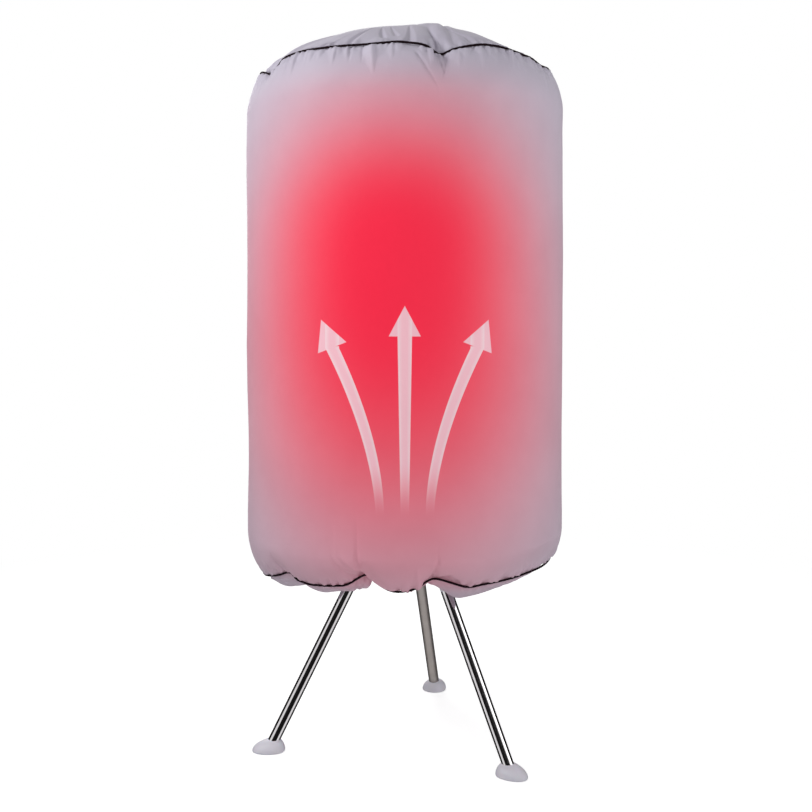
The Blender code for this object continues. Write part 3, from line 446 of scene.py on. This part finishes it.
# Metal: lines from drawing or brushing run along one way, by stretching a noise across it, and shift its roughness
# from 0.7 to 1.35 times the given one
def metal(name, pale, dark, roughness, stretch, lineHeight, useUv=False):
    material, add, shader = newMaterial(name, {"Metallic": 1.0})
    place = add("UVMap", uv_map="surface") if useUv else add("TexCoord", out="Object")
    long = add("Mapping", {"Vector": place, "Scale": stretch})
    lines = add("TexNoise", {"Vector": long, "Scale": 1.0, "Detail": 4.0, "Roughness": 0.6})
    clouds = add("TexNoise", {"Vector": add("TexCoord", out="Object"), "Scale": 35.0, "Detail": 3.0})
    height = add("Math", (lines, lineHeight), operation="MULTIPLY")
    fill(shader, {
        "Base Color": add("Mix", {0: clouds, 6: pale, 7: dark}, out=2, data_type="RGBA"),
        "Roughness": add("MapRange", {"Value": lines, "To Min": roughness * 0.7, "To Max": roughness * 1.35}),
        "Normal": add("Bump", {"Height": height, "Distance": 1.0})})
    return material


# Polished stainless tube: a mirror with faint lines drawn lengthwise
polishedSteel = metal("polished stainless tube", "#DEDCDE", "#C9C4C6", 0.07, (1400, 14, 1), 0.000004, True)
# Rear leg's tube: the stainless steel made darker and rougher, painted shade for the leg in shadow, with fine
# lengthwise lines that blur what it mirrors
shadedLegSteel = metal("satin stainless tube", "#ACA5A2", "#958E8A", 0.50, (1400, 14, 1), 0.00002, True)
poleSteel = metal("brushed steel pole", "#B4B0AF", "#9C9897", 0.34, (900, 900, 12), 0.00002)
# Zinc plate over pressed or die-cast steel: cool grey with a faint spangle
zincPlate = metal("zinc-plated steel", "#C3C5CA", "#A2A5AB", 0.34, (260, 260, 260), 0.00003)
# Extruded aluminium: pale grey, with die lines along its height
aluminium = metal("extruded aluminium fins", "#CBCDD0", "#AEB1B5", 0.38, (700, 700, 10), 0.00002)


# Moulded plastic: flow marks that shift its colour a little, and a spark-eroded grain, 0.2 mm wide and drawn at 0.9 mm
# so that it shows
def moulded(name, pale, dark, roughness, subsurface=0.0):
    material, add, shader = newMaterial(name, {"Roughness": roughness, "Subsurface Weight": subsurface,
                                               "Subsurface Scale": 0.004})
    place = add("TexCoord", out="Object")
    flow = add("TexNoise", {"Vector": place, "Scale": 22.0, "Detail": 3.0, "Distortion": 0.6})
    grains = add("TexNoise", {"Vector": place, "Scale": 1 / 0.0009, "Detail": 2.0})
    height = add("Math", (grains, 0.00003), operation="MULTIPLY")
    fill(shader, {"Base Color": add("Mix", {0: flow, 6: pale, 7: dark}, out=2, data_type="RGBA"),
                  "Normal": add("Bump", {"Height": height, "Distance": 1.0})})
    return material


palePlastic = moulded("moulded polypropylene, lilac white", "#EEECF4", "#DEDBE7", 0.42, subsurface=0.06)
greyPlastic = moulded("moulded ABS, grey", "#6A6A70", "#5B5B61", 0.48)
darkPlastic = moulded("moulded ABS, near black", "#26262A", "#1C1C1F", 0.42)
# Clear red polycarbonate lens: glassy, with the moulded rings that spread an indicator's light
redLens, add, shader = newMaterial("red polycarbonate lens", {
    "Base Color": "#B3121F", "Roughness": 0.12, "Transmission Weight": 0.35, "IOR": 1.58})
rings = add("TexWave", {"Vector": add("TexCoord", out="Object"), "Scale": 320.0})
height = add("Math", (rings, 0.00005), operation="MULTIPLY")
fill(shader, {"Normal": add("Bump", {"Height": height, "Distance": 1.0})})
print("materials ready")

# Cover: sizes as in the frame, in metres and degrees from the front
cover = {
    "top": 1.359,
    # the wall is a cone between these radii, at these heights
    "topRadius": 0.294,
    "bottomRadius": 0.3035,
    "fullTop": 1.209,
    "fullBottom": 0.429,
    "seamRadius": 0.265,
    "topRimHeight": 1.285,
    "hem": (0.1275, 0.439),     # radius and height
    "wall": 0.0006,
    "tuck": 0.0012,     # the cloths meet this far from the middle of the seam
    "pipe": 0.0019,
    # how far the piping stands out of the cloth at the top and at the bottom
    "proud": (0.0031, 0.0047),
    "bulge": 0.038,     # depth of the bottom cloth's bag
    # dent above the right front notch: angle, depth, reach up and reach aside
    "dent": (16, 0.011, 0.034, 0.042),
    # waves that the air leaves in the wall and in the top
    "broadWaves": 0.0009,
    "narrowWaves": 0.0004,
    "topWaves": 0.0012,
    "hemPleats": 0.0030,
    "stripHalf": 6,     # the zip lies on a flat strip, this many degrees to each side of the back
    "columns": 800,
    "rows": (24, 14, 22),     # of the shoulder, wall and skirt
    # angle, height and radius along the top seam, which dips right of the middle and at the left
    "topSeam": ((-98, 1.2800, 0.2650), (-89, 1.2720, 0.2650), (-82, 1.2790, 0.2650), (-73, 1.2735, 0.2650),
                (-62, 1.2612, 0.2640), (-58.5, 1.2630, 0.2640), (-56, 1.2693, 0.2640), (-50.9, 1.2808, 0.2650),
                (-44, 1.2835, 0.2650), (-38, 1.2846, 0.2650), (-23, 1.2841, 0.2650), (-14.7, 1.2836, 0.2650),
                (-6.7, 1.2853, 0.2650), (-1.8, 1.2870, 0.2650), (1.4, 1.2849, 0.2650), (6.1, 1.2833, 0.2650),
                (9.4, 1.2780, 0.2610), (12.9, 1.2672, 0.2500), (16.2, 1.2752, 0.2570), (19.3, 1.2802, 0.2640),
                (24.5, 1.2857, 0.2650), (29.1, 1.2895, 0.2650), (36.4, 1.2898, 0.2650), (41.9, 1.2876, 0.2650),
                (48.3, 1.2846, 0.2650), (54.6, 1.2835, 0.2650), (62.7, 1.2766, 0.2650), (72.2, 1.2798, 0.2660),
                (84, 1.2830, 0.2650), (97, 1.2790, 0.2620), (110, 1.2860, 0.2650), (136, 1.2850, 0.2650),
                (152, 1.2740, 0.2550), (168, 1.2850, 0.2650), (212, 1.2850, 0.2650), (228, 1.2755, 0.2560),
                (243, 1.2850, 0.2650)),
    # and along the bottom seam, which hangs in lobes between notches
    "lowSeam": ((-98, 0.3400, 0.2650), (-83, 0.3415, 0.2700), (-72, 0.3480, 0.2710), (-63.8, 0.3558, 0.2720),
                (-57.1, 0.3636, 0.2700), (-51.5, 0.3750, 0.2640), (-49.5, 0.3745, 0.2620), (-46.5, 0.3664, 0.2660),
                (-39, 0.3624, 0.2650), (-28.9, 0.3670, 0.2650), (-21.9, 0.3718, 0.2650), (-17, 0.3880, 0.2620),
                (-14, 0.3940, 0.2520), (-10.5, 0.3840, 0.2560), (-8.5, 0.3730, 0.2630), (-5.8, 0.3676, 0.2650),
                (-3.7, 0.3650, 0.2650), (-0.7, 0.3655, 0.2650), (4.2, 0.3705, 0.2650), (7, 0.3790, 0.2620),
                (9.7, 0.3862, 0.2580), (12.5, 0.3850, 0.2560), (17, 0.3778, 0.2585), (21, 0.3712, 0.2630),
                (24.2, 0.3666, 0.2650), (30.7, 0.3688, 0.2650), (43.7, 0.3694, 0.2660), (55, 0.3715, 0.2700),
                (65.5, 0.3712, 0.2730), (83, 0.3710, 0.2770), (95, 0.3720, 0.2770), (108, 0.3740, 0.2680),
                (118, 0.3840, 0.2520), (128, 0.3720, 0.2640), (143, 0.3660, 0.2650), (158, 0.3800, 0.2550),
                (171, 0.3670, 0.2650), (189, 0.3660, 0.2650), (206, 0.3840, 0.2500), (221, 0.3670, 0.2650),
                (238, 0.3770, 0.2570), (250, 0.3600, 0.2660)),
}
# Degrees from the front of each column, closer together there: 360 * share - 11.5 * sin(one turn * share)
columnShare = np.arange(cover["columns"]) / cover["columns"]
around = 360 * columnShare - np.degrees(0.2 * np.sin(2 * np.pi * columnShare))
perDegree = math.radians(1) * cover["topRadius"]
# On the flat strip the radius is scaled by cos(half width) / cos(angle), and no folds reach it
fromBack = wrapped(around - 180)
flatShare = math.cos(math.radians(cover["stripHalf"]))
stripScale = np.where(np.abs(fromBack) < cover["stripHalf"], flatShare / np.cos(np.radians(fromBack)), 1)
calm = 1 - fold(around, 180, 13) ** 0.5


# Points of the cover: radius * sin a, -radius * cos a and the height, with a from the front
def roundPoint(angles, radius, height):
    turn = np.radians(angles)
    return np.stack(np.broadcast_arrays(radius * np.sin(turn), -radius * np.cos(turn), height), axis=-1)


outwards = roundPoint(around, 1, 0)


# Radius and height along a seam: straight runs between its points, averaged over 4 degrees
def seamLine(angles, points):
    angle, height, radius = np.array(points).T
    turns = np.linspace(-2, 2, 9)
    heights, radii = (np.mean([np.interp(angles + turn, angle, values, period=360) for turn in turns], axis=0)
                      for values in (height, radius))
    return radii, heights


# Unit normals of a grid: the cross product of its steps round the columns and down the rows, on the side of a guide
def gridNormals(grid, guide):
    down = np.gradient(grid, axis=0)
    aside = np.roll(grid, -1, axis=1) - np.roll(grid, 1, axis=1)
    normals = np.cross(aside, down)
    normals /= np.maximum(np.linalg.norm(normals, axis=-1, keepdims=True), 1e-12)
    return normals * np.sign((normals * guide).sum(axis=-1).mean())


# Cloth of even thickness: the outer grid, then the same grid moved inwards and run back
def twoSided(outer, normals):
    return np.concatenate([outer, (outer - normals * cover["wall"])[::-1]])


# Mean distance of each row of a two-sided cloth, out and back
def rowDistances(depth):
    mean = depth.mean(axis=1)
    return np.concatenate([mean, mean[::-1]])


# Distance down each column from its first row: the sum of its steps
def depthDown(grid):
    steps = np.linalg.norm(np.diff(grid, axis=0), axis=-1)
    return np.vstack([np.zeros(grid.shape[1]), np.cumsum(steps, axis=0)])


# Folds that start at a seam: height * tent(distance aside / half width), shaped as a leaf that ends in a point and
# opens over its first 5 mm
def foldField(angles, depth, folds):
    total = np.zeros(np.broadcast(angles, depth).shape)
    for angle, before, after, start, length, height, lean in folds:
        along = np.clip((depth - start) / length, 0, 1)
        aside = wrapped(angles - angle) * perDegree - lean * (depth - start)
        half = np.where(aside < 0, before, after) * np.maximum(1 - along, 0.03) ** 0.6
        opening = np.clip((depth - start) / 0.005, 0, 1)
        total += height * tent(np.abs(aside) / half) * (1 - along) ** 0.8 * opening
    return total


# Small gathers, rounded with sharp valleys: |sin(count * angle / 2 + wander * waves)|^0.7, of wandering strength
def gathers(angles, count, wander=1.3):
    phase = np.radians(angles) * count / 2 + wander * ripples(angles, 3, 17)
    strength = 1 + 0.28 * ripples(angles, 5, 40)
    return np.abs(np.sin(phase)) ** 0.7 * np.clip(strength, 0.3, 1.8)


# Height and reach of the small and of the large gathers, and height and width of the groove along a seam
gathering = {"small": (0.0034, 0.009), "large": (0.0056, 0.024), "opening": 0.007, "groove": (0.0026, 0.014)}


# Cloth drawn up on a seam into lobes that narrow to a point, height * max(0, gather - depth / reach) for the small and
# the large ones, opening out of a groove, height * exp(-(depth / width)^2)
def seamGathers(small, large, depth):
    (smallHeight, smallReach), (largeHeight, largeReach) = gathering["small"], gathering["large"]
    lobes = smallHeight * np.maximum(small - depth / smallReach, 0)
    lobes = lobes + largeHeight * np.maximum(large - depth / largeReach, 0)
    groove, width = gathering["groove"]
    return lobes * np.clip(depth / gathering["opening"], 0.05, 1) - groove * np.exp(-(depth / width) ** 2)


# Random folds: even angles shifted up to 3 degrees, without a stretch of angles that has its own folds
def randomFolds(count, halves, lengths, height, lean, skip):
    angles = np.linspace(0, 360, count, endpoint=False) + dice.uniform(-3, 3, count)
    angles = angles[(wrapped(angles) < skip[0]) | (wrapped(angles) > skip[1])]
    n = len(angles)
    before, after = dice.uniform(*halves, (2, n))
    heights = dice.uniform(0.4, 1, n) * height * np.where(dice.rand(n) < 0.68, 1, -0.8)
    return np.stack([angles, before, after, np.zeros(n), dice.uniform(*lengths, n), heights,
                     dice.uniform(-lean, lean, n)], axis=1)


# Folds seen at the front, below the top seam: angle, half widths, start, length, height and lean
frontTopFolds = np.array([
    (-46.6, 0.005, 0.004, 0.000, 0.050, -0.0030, 0.10),
    (-42.2, 0.019, 0.004, 0.000, 0.052, 0.0050, 0.05),
    (-36.6, 0.010, 0.003, 0.000, 0.034, 0.0032, 0.05),
    (-32.6, 0.008, 0.003, 0.000, 0.026, 0.0026, 0.00),
    (-25.0, 0.017, 0.005, 0.000, 0.038, 0.0042, 0.05),
    (-19.6, 0.005, 0.008, 0.000, 0.036, -0.0036, 0.12),
    (-14.8, 0.004, 0.004, 0.000, 0.040, -0.0026, 0.06),
    (-11.0, 0.020, 0.006, 0.006, 0.052, 0.0048, 0.10),
    (-4.4, 0.015, 0.005, 0.000, 0.036, 0.0030, 0.05),
    (3.7, 0.006, 0.005, 0.016, 0.075, -0.0030, 0.62),
    (11.4, 0.004, 0.004, 0.004, 0.050, -0.0034, 0.22),
    (15.6, 0.005, 0.005, 0.004, 0.060, -0.0028, -0.30),
    (19.5, 0.014, 0.010, 0.000, 0.040, 0.0026, -0.15),
    (28.0, 0.010, 0.008, 0.004, 0.050, 0.0018, -0.10),
    (40.5, 0.010, 0.008, 0.004, 0.050, 0.0020, -0.10),
    (60.0, 0.012, 0.009, 0.004, 0.055, 0.0026, -0.10),
])
# Creases above the bottom notches
frontBottomFolds = np.array([
    (-15.0, 0.010, 0.010, 0.000, 0.110, -0.0060, -0.05),
    (-11.0, 0.011, 0.030, 0.000, 0.120, 0.0075, -0.75),
    (-17.0, 0.010, 0.008, 0.004, 0.100, -0.0050, -0.62),
    (10.0, 0.009, 0.009, 0.000, 0.085, -0.0050, 0.05),
    (5.0, 0.012, 0.010, 0.000, 0.060, 0.0036, -0.10),
    (-61.0, 0.010, 0.014, 0.004, 0.030, -0.0060, 0.10),
    (-54.0, 0.009, 0.009, 0.000, 0.060, -0.0036, 0.10),
    (-62.0, 0.010, 0.010, 0.000, 0.045, 0.0026, 0.00),
])
topEdge, topEdgeHeight = seamLine(around, cover["topSeam"])
lowEdge, lowEdgeHeight = seamLine(around, cover["lowSeam"])
notch = np.clip((cover["seamRadius"] - lowEdge) / 0.013, 0, 1)
shoulderRows, wallRows, skirtRows = cover["rows"]


# Share of the way from a seam's height: 1 - cos t + slope sin t cos t, so the cloth leaves the seam at a slope
def seamDrop(swing, slope):
    return 1 - np.cos(swing) + slope * np.sin(swing) * np.cos(swing)


# Side cloth. Shoulder and skirt: quarter ellipses from the seams to the full radius, fuller on the right side and
# flatter on the left; between them a cone
leftDrop = 1 - 0.13 * fold(around, -82, 50)
swing = np.linspace(0, 1, shoulderRows)[:, None] ** 1.15 * np.pi / 2
edge = topEdge + cover["tuck"]
shoulderRadius = np.sin(swing * leftDrop) ** (1 - 0.16 * fold(around, 90, 50)) / np.sin(np.pi / 2 * leftDrop)
shoulderRadius = edge + (cover["topRadius"] - edge) * shoulderRadius
shoulderHeight = topEdgeHeight + (cover["fullTop"] - topEdgeHeight) * seamDrop(swing, 0.3)
level = (1 - np.cos(np.linspace(0, np.pi, wallRows + 2)[1:-1]))[:, None] / 2
wallHeight = cover["fullTop"] + (cover["fullBottom"] - cover["fullTop"]) * level + 0 * around
wallRadius = cover["topRadius"] + (cover["bottomRadius"] - cover["topRadius"]) * level + 0 * around
swing = np.linspace(1, 0, skirtRows)[:, None] ** 1.15 * np.pi / 2
edge = lowEdge + cover["tuck"]
boxy = 1 - 0.48 * fold(around, 95, 44) - 0.26 * fold(around, -92, 45)
skirtRadius = edge + (cover["bottomRadius"] - edge) * np.sin(swing) ** boxy
steep = 0.3 + 0.40 * fold(around, 58, 38)
skirtHeight = lowEdgeHeight + (cover["fullBottom"] - lowEdgeHeight) * seamDrop(swing, steep)
radius = np.vstack([shoulderRadius, wallRadius, skirtRadius]) * stripScale
height = np.vstack([shoulderHeight, wallHeight, skirtHeight])
side = roundPoint(around, radius, height)
fromTop = depthDown(side)
fromBottom = fromTop[-1] - fromTop
topGathers = gathers(around, 184)
bottomGathers = gathers(around, 176)
topTucks = gathers(around, 78, 2.2)
bottomTucks = gathers(around, 64, 2.2)
folds = randomFolds(46, (0.005, 0.014), (0.025, 0.075), 0.0030, 0.18, (-50, 22))
swell = foldField(around, fromTop, folds) + 1.35 * foldField(around, fromTop, frontTopFolds)
folds = randomFolds(30, (0.006, 0.016), (0.030, 0.080), 0.0024, 0.20, (-66, 22))
swell += foldField(around, fromBottom, np.vstack([folds, frontBottomFolds]))
swell += seamGathers(topGathers, topTucks, fromTop) + seamGathers(bottomGathers, bottomTucks, fromBottom)
# The dent has a pointed top and flat faces: depth * max(0, 1 - up / reach up - aside / reach aside)
dentAngle, dentDepth, reachUp, reachAside = cover["dent"]
aside = np.abs(wrapped(around - dentAngle)) * perDegree
dent = np.maximum(0, 1 - fromBottom / reachUp - aside / reachAside)
swell -= dentDepth * dent * np.clip(fromBottom / 0.004, 0, 1)
# Slow waves, none within 6 cm of the seams, that wander round the cover as they go down
bay = np.clip(fromTop / 0.06, 0, 1) * np.clip(fromBottom / 0.06, 0, 1)
drift = 40 * np.sin(height * 5.0)
waves = cover["broadWaves"] * bay * ripples(around + drift, 3, 9)
swell += waves + cover["narrowWaves"] * bay * ripples(around - drift, 9, 22)
swell *= calm
side = side + gridNormals(side, outwards) * swell[..., None]
coverSide = gridPiece("coverSideCloth", twoSided(side, gridNormals(side, outwards)), taffeta,
                      uv=(2 * np.pi * 0.2988, rowDistances(fromTop)))
print("side cloth made")

# Top cloth: a dome from the apex to the seam, whose dips fade out towards the apex
shares = np.linspace(0, 1, 44)[:, None] ** 0.9
dome = cover["top"] - (cover["top"] - cover["topRimHeight"]) * shares**2
height = dome + (topEdgeHeight - cover["topRimHeight"]) * shares ** (4 + 14 * fold(around, -70, 27))
top = roundPoint(around, shares * (topEdge - cover["tuck"]), height)
inFromSeam = (1 - shares) * cover["seamRadius"] + 0 * around
# Folds of the top, from the seam inwards: angle, half widths, start, length, height and lean
topFolds = np.array([
    (-58.0, 0.034, 0.030, 0.004, 0.140, 0.0050, 0.00),
    (-22.0, 0.010, 0.014, 0.000, 0.120, -0.0030, 0.10),
    (-8.0, 0.010, 0.008, 0.020, 0.110, -0.0034, -0.35),
    (-3.0, 0.009, 0.007, 0.030, 0.100, -0.0026, -0.35),
    (2.0, 0.012, 0.012, 0.000, 0.130, -0.0036, 0.05),
    (27.0, 0.008, 0.012, 0.010, 0.120, -0.0026, -0.20),
])
folds = randomFolds(34, (0.007, 0.018), (0.040, 0.120), 0.0030, 0.25, (-25, 28))
rise = foldField(around, inFromSeam, folds) + 1.4 * foldField(around, inFromSeam, topFolds)
rise += seamGathers(topGathers, np.roll(topTucks, 3), inFromSeam)
# A ridge runs straight back from the dip, with a sharp crease on either side of its crest
x, y = top[..., 0], top[..., 1]
towardsFront = np.clip((-y - 0.01) / 0.07, 0, 1)
towardsFront = towardsFront**2 * (3 - 2 * towardsFront) * np.clip(inFromSeam / 0.03, 0, 1)
crest = 0.055 + 0.03 * np.clip(-y - 0.16, 0, 1)
aside = x - crest
ridge = 0.0088 * np.exp(-np.abs(aside / np.where(aside < 0, 0.050, 0.026)) ** 2.4)
lowDown = np.clip((-y - 0.12) / 0.05, 0, 1)
ridge += lowDown * (0.0014 * tent(np.abs(aside - 0.001) / 0.010) - 0.0022 * tent(np.abs(aside + 0.012) / 0.008))
ridge += -0.0034 * tent(np.abs(aside - 0.019 + 0.10 * (y + 0.18)) / 0.009)
ridge += 0.0032 * np.exp(-((x + 0.075) / 0.05) ** 2) + 0.0052 * np.exp(-((x - 0.110) / 0.040) ** 2)
rise += ridge * towardsFront
waves = cover["topWaves"] * np.clip((1 - shares) / 0.2, 0, 1) * np.clip(shares / 0.3, 0, 1)
rise += waves * ripples(around, 3, 12)
normals = gridNormals(top, (0, 0, 1))
normals[:2] = (0, 0, 1)
top = top + normals * rise[..., None]
normals = gridNormals(top, (0, 0, 1))
normals[:2] = (0, 0, 1)
coverTop = gridPiece("coverTopCloth", twoSided(top, normals), taffeta, ends="pole")

# Bottom cloth: it swells below the seam, then rises to the elastic hem in more and more pleats
hemRadius, hemHeight = cover["hem"]
shares = np.linspace(0, 1, 40)[:, None]
inner, outer = hemRadius + 0.0024, lowEdge - cover["tuck"]
height = lowEdgeHeight + (hemHeight - lowEdgeHeight) * shares**2
slack = 1 - 0.85 * fold(around, -2, 14) - 0.20 * fold(around, -28, 16) + 0.18 * fold(around, 30, 22)
slack = (1 - notch / 3) * slack
height = height - cover["bulge"] * slack * np.sin(np.pi * shares ** 0.92)
bottom = roundPoint(around, outer + (inner - outer) * shares, height)
inFromSeam = depthDown(bottom)
folds = randomFolds(26, (0.008, 0.020), (0.040, 0.110), 0.0036, 0.25, (-60, 22))
fall = foldField(around, inFromSeam, np.vstack([folds, frontBottomFolds]))
fall += seamGathers(bottomGathers, np.roll(bottomTucks, 3), inFromSeam)
hemPleats = np.abs(np.sin(np.radians(around) * 36 + ripples(around, 2, 9))) ** 0.8 - 0.5
fall += cover["hemPleats"] * hemPleats * np.clip((shares - 0.55) / 0.3, 0, 1) * np.clip((1 - shares) / 0.06, 0.15, 1)
bottom = bottom + gridNormals(bottom, (0, 0, -1)) * fall[..., None]
coverBottom = gridPiece("coverBottomCloth", twoSided(bottom, gridNormals(bottom, (0, 0, -1))), taffeta,
                        uv=(2 * np.pi * 0.2, rowDistances(inFromSeam)))


# Piping: a small tube along a seam, line + size * (cos t * out + sin t * up), swollen a little between its gathers
def pipeGrid(edge, height, gather, proud):
    line = roundPoint(around, edge, height)
    along = np.roll(line, -1, axis=0) - np.roll(line, 1, axis=0)
    along /= np.linalg.norm(along, axis=1, keepdims=True)
    out = outwards - (outwards * along).sum(axis=1, keepdims=True) * along
    out /= np.linalg.norm(out, axis=1, keepdims=True)
    up = np.cross(along, out)
    turn = np.linspace(0, 2 * np.pi, 10, endpoint=False)[:, None, None]
    size = (cover["pipe"] * (0.93 + 0.10 * gather))[:, None]
    line = line + out * (proud + 0.0004 * (gather - 0.5))[:, None]
    return line + size * (np.cos(turn) * out + np.sin(turn) * up)


topProud, lowProud = cover["proud"]
aroundPipe = np.linspace(0, 2 * np.pi * cover["pipe"], 10, endpoint=False)
topPiping = gridPiece("topPiping", pipeGrid(topEdge, topEdgeHeight, topGathers, topProud), piping,
                      uv=(2 * np.pi * cover["seamRadius"], aroundPipe))
bottomPiping = gridPiece("bottomPiping", pipeGrid(lowEdge, lowEdgeHeight, bottomGathers, lowProud), piping,
                         uv=(2 * np.pi * cover["seamRadius"], aroundPipe))
# Elastic hem: a casing gathered tight round the blower
turn = np.linspace(0, 2 * np.pi, 12, endpoint=False)[:, None]
pinch = 0.0021 * (0.80 + 0.30 * np.abs(np.sin(np.radians(around) * 60 + ripples(around, 2, 9))))
hemGather = gridPiece("hemGather", roundPoint(around, hemRadius + 0.0001 + pinch * np.cos(turn),
                                              hemHeight + pinch * np.sin(turn)),
                      taffeta, uv=(2 * np.pi * hemRadius, np.linspace(0, 0.013, 12, endpoint=False)))
print("cover made")

# Zip at the back: a flat tape with two rows of coil that meet in the middle
zipper = {
    "foot": 0.459,
    "head": 1.189,
    "middle": 0.824,
    "slope": 0.698,
    "radius": 0.29875,
    "lift": 0.0004,     # off the cloth
    "half": 0.013,
    "pitch": 0.0022,
    "coil": (0.00125, 0.00118, 0.0013),     # its middle, half width and height
}


# Points on the sloped flat strip: out and along are turned by the slope about its middle
def onZip(across, out, along):
    tilt = math.radians(zipper["slope"])
    facet = zipper["radius"] * flatShare + zipper["lift"]
    y = facet - along * math.sin(tilt) + out * math.cos(tilt)
    z = zipper["middle"] + along * math.cos(tilt) + out * math.sin(tilt)
    return np.stack(np.broadcast_arrays(across, y, z), axis=-1)


length = (zipper["head"] - zipper["foot"]) / math.cos(math.radians(zipper["slope"]))
along = np.linspace(-length / 2, length / 2, 200)[:, None]
half = zipper["half"]
# The tape's section, thinned along its edges
thin = half * 0.97
across = np.array([-half, -thin, thin, half, thin, 0, -thin])
out = np.array([0.0003, 0.0007, 0.0007, 0.0003, -0.0001, -0.0002, -0.0001])
zipTape = gridPiece("zipTape", onZip(across, out, along), zipWeave, ends="cap")
teeth = np.arange(-length / 2 + 0.004, length / 2 - 0.004, zipper["pitch"] / 4)[:, None]
beat = np.sin(2 * np.pi * teeth / zipper["pitch"])
turn = np.radians(np.linspace(0, 180, 7))[None, :]
coilMiddle, coilHalf, coilHeight = zipper["coil"]
coils = []
for hand, name in ((-1, "zipCoilLeft"), (1, "zipCoilRight")):
    across = hand * (coilMiddle + coilHalf * np.cos(turn) * (1 + 0.1 * beat))
    out = 0.0006 + coilHeight * np.sin(turn) * (1 + 0.16 * hand * beat)
    coils.append(gridPiece(name, onZip(across, out, teeth), coil, ends="cap"))
print("zip made")

coverNodes = ("cover_shoulder", "cover_front", "cover_right", "cover_back", "cover_left", "cover_skirt")
for piece, slotName, nodes in ((coils[0], "tape", ()), (coils[1], "tape", ()),
                               (coverSide, "silver_fabric", coverNodes), (coverTop, "silver_fabric", ("cover_top",)),
                               (coverBottom, "silver_fabric", ("cover_bottom",)),
                               (hemGather, "silver_fabric", ("hem_elastic",)),
                               (topPiping, "piping", ("piping_top",)), (bottomPiping, "piping", ("piping_bottom",)),
                               (zipTape, "tape", ("zip_tape",))):
    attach(piece, "stand")
    if nodes:
        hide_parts(*nodes)
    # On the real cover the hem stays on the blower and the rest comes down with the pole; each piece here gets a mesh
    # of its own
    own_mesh(piece)

# Legs: drawn stainless tubes, and drop-shaped feet with a long low toe and a steep heel
legs = {
    "azimuths": {"front_left": 195.87, "front_right": 315.87, "rear": 75.87},
    "angle": 27.4,
    "pivot": (0.09817, 0.3367),
    "tube": (0.011, 0.010, 0.0243, 0.3707),     # outer and inner radius, start and end from the pivot
    "footCentre": 0.2632,
    "toe": 0.0415,
    "heel": 0.0218,
    "footHalf": 0.0255,
    "footHeight": 0.0235,
    "soleHeight": 0.0022,
}


# Half an egg: x = reach * cos(a) * spread, y = half width * sin(a) * spread, spread falling to 0 at the top, and its
# rim tucked under to a flat sole
def footGrid(azimuth):
    a = np.linspace(0, 2 * np.pi, 72, endpoint=False)
    toeward = (1 + np.cos(a)) / 2
    reach = np.where(np.cos(a) > 0, legs["toe"], legs["heel"])
    swing = np.linspace(np.pi / 2, 0, 22)[:, None]
    spread = np.cos(swing) ** (0.85 + 0.45 * toeward)
    height = legs["soleHeight"] + (legs["footHeight"] - legs["soleHeight"]) * np.sin(swing)
    spread = np.vstack([spread, 0.985 + 0 * a, 0.955 + 0 * a, 0.6 + 0 * a, 0 * a])
    height = np.vstack([height + 0 * a, 0.0007 + 0 * a, 0 * a, 0 * a, 0 * a])
    x, y = reach * np.cos(a) * spread, legs["footHalf"] * np.sin(a) * spread
    outward = np.radians(azimuth)
    x = legs["footCentre"] + x
    return np.stack([x * np.cos(outward) - y * np.sin(outward), x * np.sin(outward) + y * np.cos(outward), height],
                    axis=-1)


for leg, azimuth in legs["azimuths"].items():
    outward, tilt = math.radians(azimuth), math.radians(legs["angle"])
    pivotRadius, pivotHeight = legs["pivot"]
    outer, bore, start, end = legs["tube"]
    profile = [(outer, start), (outer, end - 0.0004), (outer - 0.0004, end), (bore, end), (bore, start)]
    direction = (math.sin(tilt) * math.cos(outward), math.sin(tilt) * math.sin(outward), -math.cos(tilt))
    # The rear leg takes the darker, rougher copy of the steel: painted shade
    steel = shadedLegSteel if leg == "rear" else polishedSteel
    tube = turned(f"{leg}_tube", profile, steel, axis=direction,
                  origin=(pivotRadius * math.cos(outward), pivotRadius * math.sin(outward), pivotHeight),
                  uv=(2 * math.pi * outer, [d for r, d in profile]))
    foot = gridPiece(f"{leg}_drop_foot", footGrid(azimuth), palePlastic, ends="pole", sharp=50)
    for piece, node, slotName in ((tube, f"{leg}_leg_tube", "satin_steel" if leg == "rear" else "polished_steel"),
                                  (foot, f"{leg}_foot", "white_plastic")):
        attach(piece, f"{leg}_leg")
        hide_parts(node)
print("legs and feet made")

# Finishes of the CAD nodes that stay, by the name of the material that each comes with
finishes = {"polished_steel": polishedSteel, "satin_steel": poleSteel, "zinc": zincPlate, "aluminium": aluminium,
            "white_plastic": palePlastic, "grey_plastic": greyPlastic, "dark_plastic": darkPlastic,
            "red_lens": redLens, "silver_fabric": taffeta, "piping": piping, "tape": zipWeave}
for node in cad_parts.values():
    for place in node.material_slots:
        place.material = finishes[place.material.name.split(".")[0]]
print("CAD nodes finished")
